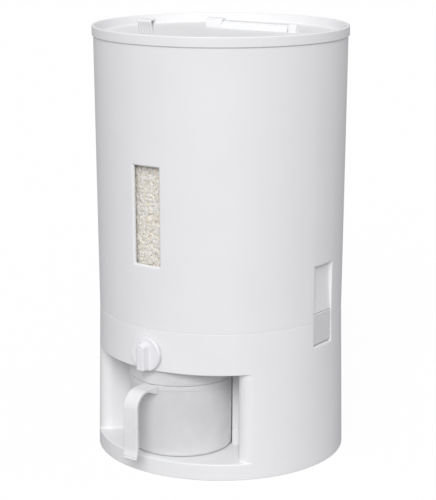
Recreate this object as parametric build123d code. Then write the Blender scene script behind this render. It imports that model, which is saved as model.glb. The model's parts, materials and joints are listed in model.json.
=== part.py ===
from build123d import *
import os
from math import acos, atan2, cos, hypot, pi, radians, sin

os.makedirs("parts", exist_ok=True)

# Rice storage bucket. Millimetres; the drum's axis is Z, the floor is z = 0, the front faces -Y.

# Drum: two drafted mouldings, both narrowest at the seam where they meet
foot_radius = 125.0
base_draft = 2.85
barrel_draft = 2.58
seam_rise = 24.5
barrel_height = 269.8
wall = 2.5
spigot_depth = 8.0
spigot_band = 4.0

# Clearances
running_gap = 0.35
seat_gap = 0.1
shaft_gap = 0.05
held_gap = 0.02

# Alcove for the cup: walls that flare to the front from a round back
alcove_floor = 16.2
alcove_room = 6.0
alcove_flare = 34.5
alcove_edge_radius = 11.0
floor_thickness = 2.6
deck_thickness = 2.6
fence_gap = 1.0
fence_back = 24.0
kerb_back = 21.0
kerb_height = 14.8

# Measuring cup and its strap handle
cup_setback = 6.0
cup_radius = 51.0
cup_height = 72.4
cup_wall = 2.2
cup_draft = 0.5
cup_heel_radius = 4.5
cup_lift = 0.2
handle_width = 16.0
handle_thickness = 3.7
handle_reach = 32.0
handle_bend_radius = 17.0
handle_end_rise = 5.1
handle_toe_height = 9.0
handle_toe_kick = 2.5
handle_toe_radius = 12.0
handle_throat_radius = 8.0
handle_root_depth = 9.5
handle_edge_radius = 0.8
handle_drop = 0.5

# Collar under the alcove's ceiling
collar_gap = 0.5
collar_height = 15.2
collar_wall = 2.5
collar_top = 2.5

# Valve: a slotted drum turned by the knob
knob_radius = 17.0
knob_thickness = 3.5
knob_edge_radius = 1.0
knob_gap = 0.6
grip_width = 11.2
grip_reach = 8.0
grip_draft = 6.0
grip_top = 12.3
grip_edge_radius = 1.4
pointer_radius = 1.1
pointer_depth = 0.6
shaft_radius = 4.0
shaft_flat = 3.0
knob_bore_depth = 8.5
drum_radius_valve = 12.0
drum_length = 44.0
drum_end = 7.0
drum_slot = 15.0
journal_length = 4.6
inlet_width = 16.0
housing_floor = 1.55
housing_cheek = 5.15
housing_roof = 3.65
housing_wall = 4.0
housing_foot = 4.0
housing_foot_reach = 10.0
cap_thickness = 3.0
cap_screw_spread = 5.0
bush_wall = 2.5
bush_flange = 2.0
bush_flange_height = 1.5
clip_thickness = 1.0
clip_wall = 2.6
clip_groove = 0.6
clip_setback = 6.0

# Funnel, gasket and rice
gasket_thickness = 1.0
funnel_wall = 2.0
funnel_flange = 3.0
neck_height = 9.0
neck_margin = 1.5
funnel_front_rise = 44.5
funnel_back_rise = 119.5
rice_rise = 174.5
rice_gap = 0.3

# Window
window_width = 29.7
window_rise = 62.0
window_height = 95.2
window_corner_radius = 1.5
window_recess = 2.3
pane_flange = 5.0
pane_thickness = 2.0
pane_seal = 0.8

# Lid: ring with a plug and a fixed rear floor, and a hinged flap in front
lid_overhang = 1.27
lid_rim_height = 10.7
lid_rim_width = 3.5
lid_rim_edge_radius = 1.2
lid_floor_rise = 1.7
shadow_gap = 0.8
shadow_depth = 2.4
plug_depth = 11.0
plug_wall = 2.5
lid_seal_height = 3.0
lid_seal_depth = 1.2
ledge_width = 6.3
ledge_thickness = 2.2
ledge_drop = 3.8
flap_thickness = 2.3
flap_seal_width = 2.5
flap_seal_inset = 2.0
hinge_back = 48.0
hinge_rise = 4.0
hinge_pin_radius = 1.5
knuckle_radius = 4.0
bar_left = 48.4
bar_right = 58.6
left_ear_width = 18.6
right_ear_width = 9.0
left_ear_radius = 6.0
right_ear_radius = 4.3
bar_front = 7.0
beam_width = 8.0

# Pull tab on the flap's front edge: a hollow teardrop loop on a short stem
tab_width = 15.6
tab_rise = 23.0
tab_radius = 4.4
tab_wall = 1.6
tab_stem = 3.2
tab_stem_rise = 3.0
tab_inset = 0.45
tab_lean = 0.2
tab_rib_count = 5
tab_rib_radius = 0.7

# Side latches and the hand scoops above them
latch_width = 31.0
latch_drop = 24.3
latch_height = 32.0
latch_thickness = 2.6
latch_recess = 2.0
latch_eye_radius = 3.4
latch_pin_radius = 1.5
latch_pin_cover = 0.6
latch_hook_reach = 3.0
latch_hook_height = 3.0
catch_height = 2.5
scoop_height = 48.0
scoop_depth = 4.0
scoop_lip = 2.2
scoop_hollow_radius = 400.0
scoop_corner_radius = 2.5
pocket_wall = 2.4

# Bottom cover, its screws and pads
plate_thickness = 3.0
post_radius = 6.0
post_height = 16.0
pad_radius = 9.0
pad_depth = 1.5
pad_inset = 27.0
screw_radius = 1.5
screw_head_radius = 2.9
screw_head_height = 1.8
screw_bite = 8.0
screw_edge = 4.0

# Heights and places that follow from the sizes above
seam_radius = foot_radius - base_draft
rim_radius = seam_radius + barrel_draft
cup_y = cup_setback + cup_radius - foot_radius
alcove_radius = cup_radius + alcove_room
fence_front = cup_y + fence_back
kerb_front = cup_y + kerb_back
cup_bottom = alcove_floor + cup_lift
cup_rim = cup_bottom + cup_height
handle_end = cup_bottom + handle_end_rise
collar_bottom = cup_rim + collar_gap
alcove_ceiling = collar_bottom + collar_height
deck_top = alcove_ceiling + deck_thickness
drum_bore = drum_radius_valve + running_gap
knob_height = deck_top + housing_floor + drum_bore
housing_side = drum_bore + housing_cheek
housing_top = knob_height + drum_bore + housing_roof
funnel_foot = housing_top + gasket_thickness
neck_foot = funnel_foot + funnel_flange
neck_top = neck_foot + neck_height
seam_height = knob_height + seam_rise
barrel_top = seam_height + barrel_height
funnel_front_height = seam_height + funnel_front_rise
funnel_back_height = seam_height + funnel_back_rise
rice_level = seam_height + rice_rise
window_bottom = seam_height + window_rise
latch_bottom = seam_height - latch_drop
lid_floor = barrel_top + lid_floor_rise
lid_top = barrel_top + lid_rim_height
hinge_height = lid_floor + hinge_rise
flap_under = lid_floor - flap_thickness
drum_front = cup_y - drum_length / 2
drum_back = cup_y + drum_length / 2
housing_front = drum_front - running_gap
housing_inner_back = drum_back + running_gap
housing_back = housing_inner_back + housing_wall
slot_length = drum_length - 2 * drum_end
far = 4 * foot_radius


def drum_radius(z):
    # Outer radius of the drum at a height: two straight drafts that meet at the seam
    if z <= seam_height:
        return foot_radius + (seam_radius - foot_radius) * z / seam_height
    return seam_radius + (rim_radius - seam_radius) * (z - seam_height) / barrel_height


def turned(*points):
    # Solid of revolution about the drum's axis from (radius, height) points, closed at the back
    return revolve(Plane.YZ * Polygon(*points, align=None), Axis.Z)


def drum_slice(low, high, inset):
    # Solid slice of the drum between two heights, a given depth inside its surface
    bottom = drum_radius(low) - inset
    top = drum_radius(high) - inset
    return turned((0, low), (bottom, low), (top, high), (0, high))


def block(x, y, z):
    # Box from three (low, high) pairs
    size = [high - low for low, high in (x, y, z)]
    middle = [(low + high) / 2 for low, high in (x, y, z)]
    return Pos(*middle) * Box(*size)


def rod(start, end, radius):
    # Round bar between two points
    span = Vector(*end) - Vector(*start)
    seat = Plane(origin=start, z_dir=span)
    return seat * Cylinder(radius, span.length, align=(Align.CENTER, Align.CENTER, Align.MIN))


def other_side(part):
    # The same part half a turn round the drum
    return Rot(0, 0, 180) * part


def both_sides(part):
    return part + other_side(part)


def tangent_angle(centre, radius, point, side):
    # Direction from a circle's centre to where the tangent from a point touches it, on one side
    gap = (point[0] - centre[0], point[1] - centre[1])
    return atan2(gap[1], gap[0]) + side * acos(radius / hypot(*gap))


def on_circle(centre, radius, angle):
    return (centre[0] + radius * cos(angle), centre[1] + radius * sin(angle))


def teardrop(centre, radius, left, right):
    # Face of a circle drawn down by tangents to a left and a right foot, which may be one point
    start = tangent_angle(centre, radius, left, -1) + 2 * pi
    end = tangent_angle(centre, radius, right, 1)
    crown = ThreePointArc(*[on_circle(centre, radius, angle) for angle in (start, (start + end) / 2, end)])
    sides = Line(left, on_circle(centre, radius, start)) + Line(on_circle(centre, radius, end), right)
    if left != right:
        sides += Line(right, left)
    return make_face(crown + sides)


def screw(seat, way, length):
    # Round-headed screw with its head's underside at the seat
    seat = Vector(*seat)
    way = Vector(*way)
    head = rod(seat - way * screw_head_height, seat, screw_head_radius)
    return head + rod(seat, seat + way * length, screw_radius)


def screw_hole(seat, way, length):
    seat = Vector(*seat)
    return rod(seat, seat + Vector(*way) * length, screw_radius + held_gap)


def group(parts):
    return Compound(children=list(parts))


# Base shell

def alcove_plan(grow):
    # Plan of the alcove: a round back and two walls tangent to it that flare to the front
    radius = alcove_radius + grow
    flare = radians(alcove_flare)
    touch = (radius * cos(flare), cup_y + radius * sin(flare))
    mouth = (touch[0] + far * sin(flare), touch[1] - far * cos(flare))
    walls = Polyline(touch, mouth, (-mouth[0], mouth[1]), (-touch[0], touch[1]))
    back = ThreePointArc((-touch[0], touch[1]), (0, cup_y + radius), touch)
    return make_face(walls + back)


def base_form(inset, floor, ceiling):
    # The base drum with the alcove between a floor and a ceiling height, its front edges rounded
    drum = drum_slice(0, seam_height, inset)
    drum -= extrude(Pos(0, 0, floor) * alcove_plan(inset), ceiling - floor)
    upright = drum.edges().filter_by(lambda e: floor + wall < e.center().Z < ceiling - wall)
    mouth_edges = upright.filter_by(lambda e: e.center().Y < cup_y)
    return fillet(mouth_edges, alcove_edge_radius - inset)


latch_outer = drum_radius(latch_bottom) - latch_recess
latch_inner = latch_outer - latch_thickness
latch_pivot_x = latch_outer - latch_eye_radius
latch_pivot_z = latch_bottom + latch_eye_radius
latch_top = latch_bottom + latch_height
pocket_floor = latch_pivot_x - latch_eye_radius - running_gap
pocket_half = latch_width / 2 + running_gap
pocket_bottom = latch_bottom - running_gap
backing_half = pocket_half + pocket_wall
latch_pin_half = backing_half - latch_pin_cover
scoop_bottom = latch_top + running_gap
scoop_top = scoop_bottom + scoop_height


def latch_pocket(low, high):
    # Room for the right latch between two heights
    return block((pocket_floor, far), (-pocket_half, pocket_half), (low, high))


def latch_rod(half, radius):
    # Round bar along the right latch's pivot
    return rod((latch_pivot_x, -half, latch_pivot_z), (latch_pivot_x, half, latch_pivot_z), radius)


def deck_screw_points():
    across = housing_side + housing_foot_reach - screw_edge
    along = slot_length / 2
    return [(x, cup_y + y) for x in (-across, across) for y in (-along, along)]


def bottom_screw_points():
    reach = (foot_radius - wall / 2 - post_radius) * cos(radians(45))
    return [(x, y) for x in (-reach, reach) for y in (-reach, reach)]


deck_screw_seat = alcove_ceiling - collar_top
deck_screw_length = collar_top + deck_thickness + housing_foot
bush_radius = shaft_radius + shaft_gap + bush_wall
front_wall_y = -drum_radius(knob_height)
bush_back = front_wall_y + wall + bush_flange_height


def base_shell():
    shell = base_form(0, alcove_floor, alcove_ceiling)
    shell -= base_form(wall, alcove_floor - floor_thickness, deck_top)
    # A guide stands close round the back of the cup, with a low kerb that comes further forwards
    ring = Circle(alcove_radius + 0.9 * wall) - Circle(cup_radius + fence_gap)
    guide = Pos(0, cup_y, alcove_floor) * ring
    fence = extrude(guide, alcove_ceiling - alcove_floor)
    kerb = extrude(guide, kerb_height)
    shell += fence & block((-far, far), (fence_front, far), (0, far))
    shell += kerb & block((-far, far), (kerb_front, far), (0, far))
    backing = block((pocket_floor - pocket_wall, far), (-backing_half, backing_half),
                    (pocket_bottom - pocket_wall, seam_height))
    shell += both_sides(backing & drum_slice(0, seam_height, wall / 2))
    shell -= both_sides(latch_pocket(pocket_bottom, seam_height))
    shell -= both_sides(latch_rod(latch_pin_half, latch_pin_radius + held_gap))
    for x, y in bottom_screw_points():
        post_top = plate_thickness + post_height if y > 0 else alcove_floor - floor_thickness / 2
        post = rod((x, y, plate_thickness), (x, y, post_top), post_radius)
        shell += post & drum_slice(0, seam_height, wall / 2)
        shell -= screw_hole((x, y, screw_head_height), (0, 0, 1), screw_bite)
    shell -= block((-inlet_width / 2, inlet_width / 2), (cup_y - slot_length / 2, cup_y + slot_length / 2),
                   (alcove_ceiling, deck_top))
    for x, y in deck_screw_points():
        shell -= screw_hole((x, y, deck_screw_seat), (0, 0, 1), deck_screw_length)
    shell -= rod((0, -far, knob_height), (0, bush_back, knob_height), bush_radius + held_gap)
    return shell


def bottom_plate():
    plate = drum_slice(0, plate_thickness, wall + seat_gap)
    for x, y in bottom_screw_points():
        plate -= rod((x, y, 0), (x, y, screw_head_height), screw_head_radius + seat_gap)
        plate -= screw_hole((x, y, 0), (0, 0, 1), plate_thickness)
    for x, y in pad_points():
        plate -= rod((x, y, 0), (x, y, pad_depth), pad_radius + held_gap)
    return plate


def pad_points():
    reach = foot_radius - pad_inset
    return [(reach, 0), (-reach, 0), (0, reach), (0, -reach)]


def floor_pads():
    return group(rod((x, y, 0), (x, y, pad_depth), pad_radius) for x, y in pad_points())


def bottom_screws():
    return group(screw((x, y, screw_head_height), (0, 0, 1), screw_bite) for x, y in bottom_screw_points())


# Spout collar, valve housing and the drum in it

def spout_collar():
    tube = Pos(0, cup_y, collar_bottom) * Cylinder(
        cup_radius, alcove_ceiling - collar_bottom, align=(Align.CENTER, Align.CENTER, Align.MIN))
    hollow = Pos(0, cup_y, collar_bottom) * Cylinder(
        cup_radius - collar_wall, deck_screw_seat - collar_bottom, align=(Align.CENTER, Align.CENTER, Align.MIN))
    collar = tube - hollow
    half = slot_length / 2
    collar -= block((-inlet_width / 2, inlet_width / 2), (cup_y - half, cup_y + half), (collar_bottom, deck_top))
    for x, y in deck_screw_points():
        collar -= screw_hole((x, y, deck_screw_seat), (0, 0, 1), collar_top)
    return collar


def deck_screws():
    return group(screw((x, y, deck_screw_seat), (0, 0, 1), deck_screw_length) for x, y in deck_screw_points())


def cap_screw_points():
    across = (drum_bore + housing_side) / 2
    return [(x, knob_height + z) for x in (-across, across) for z in (-cap_screw_spread, cap_screw_spread)]


def funnel_screw_points():
    across = housing_side - screw_edge
    along = drum_length / 2 - screw_edge
    return [(x, cup_y + y) for x in (-across, across) for y in (-along, along)]


def valve_housing():
    body = block((-housing_side, housing_side), (housing_front, housing_back), (deck_top, housing_top))
    foot = housing_side + housing_foot_reach
    body += block((-foot, foot), (housing_front, housing_back), (deck_top, deck_top + housing_foot))
    body -= rod((0, housing_front, knob_height), (0, housing_inner_back, knob_height), drum_bore)
    body -= rod((0, drum_front, knob_height), (0, housing_back, knob_height), bush_radius + held_gap)
    half = slot_length / 2
    body -= block((-inlet_width / 2, inlet_width / 2), (cup_y - half, cup_y + half), (deck_top, housing_top))
    for x, y in deck_screw_points():
        body -= screw_hole((x, y, deck_top), (0, 0, 1), housing_foot)
    for x, z in cap_screw_points():
        body -= screw_hole((x, housing_front, z), (0, 1, 0), screw_bite)
    for x, y in funnel_screw_points():
        body -= screw_hole((x, y, housing_top), (0, 0, -1), screw_bite)
    return body


cap_front = housing_front - cap_thickness


def housing_cap():
    cap = block((-housing_side, housing_side), (cap_front, housing_front), (deck_top, housing_top))
    cap -= rod((0, cap_front, knob_height), (0, housing_front, knob_height), shaft_radius + running_gap)
    for x, z in cap_screw_points():
        cap -= screw_hole((x, cap_front, z), (0, 1, 0), cap_thickness)
    return cap


def cap_screws():
    length = cap_thickness + screw_bite
    return group(screw((x, cap_front, z), (0, 1, 0), length) for x, z in cap_screw_points())


def rear_bush():
    bush = rod((0, housing_inner_back, knob_height), (0, housing_back, knob_height), bush_radius)
    return bush - rod((0, housing_inner_back, knob_height), (0, housing_back, knob_height),
                      shaft_radius + shaft_gap)


def front_bush():
    # Sleeve through the base's front wall, with a flange behind it cut to the wall's curve
    sleeve = rod((0, front_wall_y - knob_gap / 2, knob_height), (0, bush_back, knob_height), bush_radius)
    flange = rod((0, front_wall_y, knob_height), (0, bush_back, knob_height), bush_radius + bush_flange)
    flange &= drum_slice(0, seam_height, wall + seat_gap)
    return sleeve + flange - rod((0, -far, knob_height), (0, 0, knob_height), shaft_radius + shaft_gap)


knob_back = -max(drum_radius(knob_height + z) for z in (-knob_radius, knob_radius)) - knob_gap
knob_front = knob_back - knob_thickness
shaft_front = knob_back - knob_bore_depth
shaft_back = drum_front + drum_end - seat_gap
clip_y = bush_back + clip_setback


def shaft_form(grow):
    # Shaft with a flat at each end, where it drives the knob and the drum
    form = rod((0, shaft_front - grow, knob_height), (0, shaft_back + grow, knob_height), shaft_radius + grow)
    flat = (shaft_flat + grow, far)
    form -= block(flat, (-far, knob_back - seat_gap), (0, far))
    form -= block(flat, (drum_front, far), (0, far))
    return form


def valve_shaft():
    groove = rod((0, clip_y, knob_height), (0, clip_y + clip_thickness + seat_gap, knob_height), far)
    groove -= rod((0, -far, knob_height), (0, 0, knob_height), shaft_radius - clip_groove)
    return shaft_form(0) - groove


def shaft_clip():
    inner = shaft_radius - clip_groove + held_gap
    start = clip_y + seat_gap / 2
    ring = rod((0, start, knob_height), (0, start + clip_thickness, knob_height), shaft_radius + clip_wall)
    ring -= rod((0, start, knob_height), (0, start + clip_thickness, knob_height), inner)
    return ring - block((-inner, inner), (start, start + clip_thickness), (knob_height - far, knob_height))


def knob():
    face = Plane(origin=(0, knob_back, knob_height), x_dir=(1, 0, 0), z_dir=(0, -1, 0))
    disc = extrude(face * Circle(knob_radius), knob_thickness)
    disc = fillet(disc.edges().group_by(Axis.Y)[0], knob_edge_radius)
    round_end = grip_top - grip_width / 2
    outline = Pos(0, round_end) * Circle(grip_width / 2)
    outline += Pos(0, (round_end - knob_radius) / 2) * Rectangle(grip_width, round_end + knob_radius)
    outline &= Circle(knob_radius)
    grip = extrude(face * outline, knob_thickness + grip_reach, taper=grip_draft)
    grip = fillet(grip.edges().group_by(Axis.Y)[0], grip_edge_radius)
    tip = knob_front - grip_reach
    pointer = rod((0, tip, knob_height + round_end), (0, tip + pointer_depth, knob_height + round_end),
                  pointer_radius)
    return disc + grip - pointer - shaft_form(held_gap)


def valve_drum():
    # Drum whose through slot lies level at rest, so that its solid sides close the inlet and the outlet
    form = rod((0, drum_front, knob_height), (0, drum_back, knob_height), drum_radius_valve)
    form += rod((0, drum_back, knob_height), (0, drum_back + journal_length, knob_height), shaft_radius)
    half = slot_length / 2
    form -= block((-far, far), (cup_y - half, cup_y + half),
                  (knob_height - drum_slot / 2, knob_height + drum_slot / 2))
    return form - shaft_form(held_gap)


# Funnel, gasket and the rice on it

def mouth_plane(rise):
    # Tilted plane of the funnel's mouth, low in front and high behind
    front = -(drum_radius(funnel_front_height) - wall)
    back = drum_radius(funnel_back_height) - wall
    slope = Vector(0, back - front, funnel_back_height - funnel_front_height)
    middle = Vector(0, (front + back) / 2, (funnel_front_height + funnel_back_height) / 2 + rise)
    return Plane(origin=middle, x_dir=(1, 0, 0), z_dir=Vector(1, 0, 0).cross(slope)), slope.length / 2


def funnel_form(inset, rise):
    # Sloped body from a round neck to the oval where the tilted mouth plane meets the barrel
    plane, half_slope = mouth_plane(rise)
    half_width = drum_radius(plane.origin.Z) - wall
    mouth = plane * Ellipse(half_width - seat_gap - inset, half_slope - seat_gap - inset)
    neck_radius = slot_length / 2 + neck_margin + funnel_wall - inset
    foot = Plane((0, cup_y, neck_top)) * Circle(neck_radius)
    neck = extrude(Plane((0, cup_y, neck_foot)) * Circle(neck_radius), neck_height)
    return loft([foot, mouth]) + neck


def hopper_funnel():
    funnel = funnel_form(0, 0) - funnel_form(funnel_wall, 0)
    flange = block((-housing_side, housing_side), (housing_front, housing_back), (funnel_foot, neck_foot))
    half = slot_length / 2
    flange -= block((-inlet_width / 2, inlet_width / 2), (cup_y - half, cup_y + half), (0, far))
    for x, y in funnel_screw_points():
        flange -= screw_hole((x, y, neck_foot), (0, 0, -1), funnel_flange)
    return funnel + flange


def throat_gasket():
    gasket = block((-housing_side, housing_side), (housing_front, housing_back), (housing_top, funnel_foot))
    half = slot_length / 2
    gasket -= block((-inlet_width / 2, inlet_width / 2), (cup_y - half, cup_y + half), (0, far))
    for x, y in funnel_screw_points():
        gasket -= screw_hole((x, y, funnel_foot), (0, 0, -1), gasket_thickness)
    return gasket


def funnel_screws():
    length = funnel_flange + gasket_thickness + screw_bite
    return group(screw((x, y, neck_foot), (0, 0, -1), length) for x, y in funnel_screw_points())


def rice_fill():
    plane = mouth_plane(rice_gap)[0]
    above = plane * Pos(0, 0, far) * Box(2 * far, 2 * far, 2 * far)
    rice = drum_slice(seam_height, rice_level, wall + rice_gap) & above
    rice += funnel_form(funnel_wall + rice_gap, rice_gap)
    behind_pane = window_recess_depth + rice_gap
    pane_room = drum_slice(pane_low, pane_high, 0) - drum_slice(pane_low, pane_high, behind_pane)
    half = pane_half + rice_gap
    return rice - (pane_room & block((-half, half), (-far, 0), (0, 2 * far)))


# Barrel and window

def barrel_shell():
    shell = drum_slice(seam_height, barrel_top, 0) - drum_slice(seam_height, barrel_top, wall)
    spigot_outer = seam_radius - wall - seat_gap
    spigot_inner = spigot_outer - wall
    low = seam_height - spigot_depth
    high = seam_height + spigot_band
    join = seam_radius - wall / 2
    shell += turned((spigot_inner, low), (spigot_outer, low), (spigot_outer, seam_height),
                    (join, seam_height), (join, high), (spigot_inner, high))
    latch_room = backing_half + running_gap
    for side in (-1, 1):
        edge = side * far
        reach = (min(0, edge), max(0, edge))
        shell -= block(reach, (-latch_room, latch_room), (low, seam_height))
    backing = block((scoop_floor - pocket_wall, far), (-backing_half, backing_half),
                    (seam_height, scoop_top + pocket_wall))
    shell += both_sides(backing & drum_slice(seam_height, barrel_top, wall / 2))
    shell -= both_sides(latch_pocket(seam_height, scoop_bottom) + scoop())
    catch = block((pocket_floor - pocket_wall / 2, latch_inner - running_gap), (-pocket_half, pocket_half),
                  (seam_height, seam_height + catch_height))
    shell += both_sides(catch)
    return shell - window_opening(0)


scoop_floor = drum_radius(scoop_top) - scoop_depth


def scoop():
    # Hand scoop: deep under its upper edge, with a hollow floor that runs out towards the latch
    low_edge = drum_radius(scoop_bottom) - scoop_lip
    hollow = RadiusArc((low_edge, scoop_bottom), (scoop_floor, scoop_top), scoop_hollow_radius)
    rest = Polyline((scoop_floor, scoop_top), (far, scoop_top), (far, scoop_bottom), (low_edge, scoop_bottom))
    form = extrude(Plane.XZ * make_face(hollow + rest), pocket_half, both=True)
    floor_face = form.faces().filter_by(GeomType.CYLINDER)[0]
    sides = floor_face.edges().filter_by(GeomType.CIRCLE)
    return fillet(sides, scoop_corner_radius)


def window_opening(shrink):
    size = (window_width - 2 * shrink, window_height - 2 * shrink)
    outline = RectangleRounded(*size, window_corner_radius)
    middle = window_bottom + window_height / 2
    return extrude(Plane.XZ * Pos(0, middle) * outline, far)


window_recess_depth = wall + seat_gap + pane_seal + seat_gap + pane_thickness
pane_half = window_width / 2 + pane_flange
pane_low = window_bottom - pane_flange
pane_high = window_bottom + window_height + pane_flange


def skin(low, high, outer, inner):
    # Curved sheet between two depths inside the drum's surface
    return drum_slice(low, high, outer) - drum_slice(low, high, inner)


def window_pane():
    front = block((-pane_half, pane_half), (-far, 0), (0, 2 * far))
    flange_face = wall + seat_gap + pane_seal + seat_gap
    pane = skin(pane_low, pane_high, flange_face, window_recess_depth) & front
    raised = skin(pane_low, pane_high, window_recess, flange_face + pane_thickness / 2)
    return pane + (raised & window_opening(seat_gap))


def window_seal():
    front = block((-pane_half, pane_half), (-far, 0), (0, 2 * far))
    seal = skin(pane_low, pane_high, wall + seat_gap, wall + seat_gap + pane_seal) & front
    return seal - window_opening(0)


# Lid

plug_low = barrel_top - plug_depth
plug_outer = drum_radius(plug_low) - wall - 2 * seat_gap
plug_inner = plug_outer - plug_wall
lid_outer = rim_radius + lid_overhang
lid_inner = lid_outer - lid_rim_width
flap_radius = plug_inner - running_gap
ledge_top = lid_floor - ledge_drop
ledge_low = ledge_top - ledge_thickness
ledge_inner = plug_inner - ledge_width
ear_front = hinge_back - left_ear_radius
flap_back = ear_front - running_gap
knuckle_left = -bar_left + left_ear_width + running_gap
knuckle_right = bar_right - right_ear_width - running_gap
seal_middle = (plug_low + ledge_low) / 2


def lid_ring():
    seal_top = seal_middle + lid_seal_height / 2 + seat_gap
    seal_low = seal_middle - lid_seal_height / 2 - seat_gap
    seal_back = plug_outer - lid_seal_depth
    step = lid_outer - shadow_depth
    ring = turned((plug_inner, lid_floor), (lid_inner, lid_floor), (lid_inner, lid_top), (lid_outer, lid_top),
                  (lid_outer, barrel_top + shadow_gap), (step, barrel_top + shadow_gap), (step, barrel_top),
                  (plug_outer, barrel_top), (plug_outer, seal_top), (seal_back, seal_top),
                  (seal_back, seal_low), (plug_outer, seal_low), (plug_outer, plug_low),
                  (plug_inner, plug_low), (plug_inner, ledge_low), (ledge_inner, ledge_low),
                  (ledge_inner, ledge_top), (plug_inner, ledge_top))
    top_edges = ring.edges().group_by(Axis.Z)[-1]
    ring = fillet(top_edges, lid_rim_edge_radius)
    disc = Cylinder(plug_inner + plug_wall / 2, 2 * far)
    rear = block((-far, far), (ear_front, far), (flap_under, lid_floor))
    beam = block((-far, far), (ear_front - beam_width, ear_front + wall), (ledge_low, ledge_top))
    web = block((-far, far), (ear_front, ear_front + wall), (ledge_low, lid_floor))
    ring += (rear + beam + web) & disc
    ring -= block((knuckle_left - running_gap, knuckle_right + running_gap),
                  (ear_front - running_gap, hinge_back + knuckle_radius + running_gap),
                  (flap_under - running_gap, far * 2))
    ring += ear(-bar_left, -bar_left + left_ear_width, left_ear_radius)
    ring += ear(bar_right - right_ear_width, bar_right, right_ear_radius)
    return ring - hinge_rod(hinge_pin_radius + held_gap)


def ear(low, high, radius):
    top = rod((low, hinge_back, hinge_height), (high, hinge_back, hinge_height), radius)
    return top + block((low, high), (hinge_back - radius, hinge_back + radius), (flap_under, hinge_height))


def hinge_rod(radius):
    end = bar_left - running_gap
    return rod((-end, hinge_back, hinge_height), (end, hinge_back, hinge_height), radius)


def lid_seal():
    low = seal_middle - lid_seal_height / 2
    high = seal_middle + lid_seal_height / 2
    inner = plug_outer - lid_seal_depth + seat_gap
    outer = drum_radius(low) - wall - held_gap
    return turned((inner, low), (outer, low), (outer, high), (inner, high))


def flap_plan(inset):
    # Disc cut straight along the hinge
    cut = Pos(0, (flap_back - inset) / 2 - far) * Rectangle(2 * far, flap_back - inset + 2 * far)
    return Circle(flap_radius - inset) & cut


def pull_tab():
    # Hollow teardrop loop that leans over the rim, on a stem at the flap's front edge
    stem_front = -(flap_radius - tab_inset)
    stem_back = stem_front + tab_stem
    neck = lid_floor + tab_stem_rise
    centre = (stem_front - tab_lean, lid_floor + tab_rise - tab_radius)
    loop = teardrop(centre, tab_radius, (stem_front, neck), (stem_back, neck))
    tip = ((stem_front + stem_back) / 2, neck + tab_wall)
    hollow = teardrop(centre, tab_radius - tab_wall, tip, tip)
    face_angle = tangent_angle(centre, tab_radius, (stem_front, neck), -1)
    face_top = on_circle(centre, tab_radius, face_angle)
    form = extrude(Plane.YZ * (loop - hollow), tab_width / 2, both=True)
    form += block((-tab_width / 2, tab_width / 2), (stem_front, stem_back), (flap_under, neck))
    pitch = tab_width / tab_rib_count
    for index in range(tab_rib_count):
        x = (index - (tab_rib_count - 1) / 2) * pitch
        form += rod((x, stem_front, neck), (x, *face_top), tab_rib_radius)
    return form


def lid_flap():
    flap = extrude(Pos(0, 0, flap_under) * flap_plan(0), flap_thickness)
    flap += block((knuckle_left, knuckle_right), (flap_back - bar_front, hinge_back), (flap_under, lid_floor))
    toe = (hinge_back - bar_front, lid_floor)
    bar = teardrop((hinge_back, hinge_height), knuckle_radius, toe, toe)
    flap += Pos(knuckle_left) * extrude(Plane.YZ * bar, knuckle_right - knuckle_left)
    flap += pull_tab()
    return flap - hinge_rod(hinge_pin_radius + shaft_gap)


def flap_seal():
    band = flap_plan(flap_seal_inset) - flap_plan(flap_seal_inset + flap_seal_width)
    thickness = flap_under - ledge_top - running_gap
    return extrude(Pos(0, 0, flap_under - thickness) * band, thickness)


# Latches

def latch():
    # Flat panel on a round eye at its lower end, with a hook behind its upper end
    half = latch_width / 2
    panel = block((latch_inner, latch_outer), (-half, half), (latch_pivot_z, latch_top))
    panel += latch_rod(half, latch_eye_radius)
    hook_low = seam_height + catch_height + running_gap
    panel += block((latch_inner - latch_hook_reach, latch_outer), (-half, half),
                   (hook_low, hook_low + latch_hook_height))
    return panel - latch_rod(half, latch_pin_radius + shaft_gap)


def latch_pins():
    pin = latch_rod(latch_pin_half, latch_pin_radius)
    return group([pin, other_side(pin)])


# Measuring cup

def cup_body():
    heel = cup_radius - cup_draft
    outer = turned((0, cup_bottom), (heel, cup_bottom), (cup_radius, cup_rim), (0, cup_rim))
    outer = fillet(outer.edges().group_by(Axis.Z)[0], cup_heel_radius)
    floor = cup_bottom + cup_wall
    inner = turned((0, floor), (heel - cup_wall, floor), (cup_radius - cup_wall, cup_rim), (0, cup_rim))
    inner = fillet(inner.edges().group_by(Axis.Z)[0], cup_heel_radius - cup_wall)
    return Pos(0, cup_y) * (outer - inner)


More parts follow.
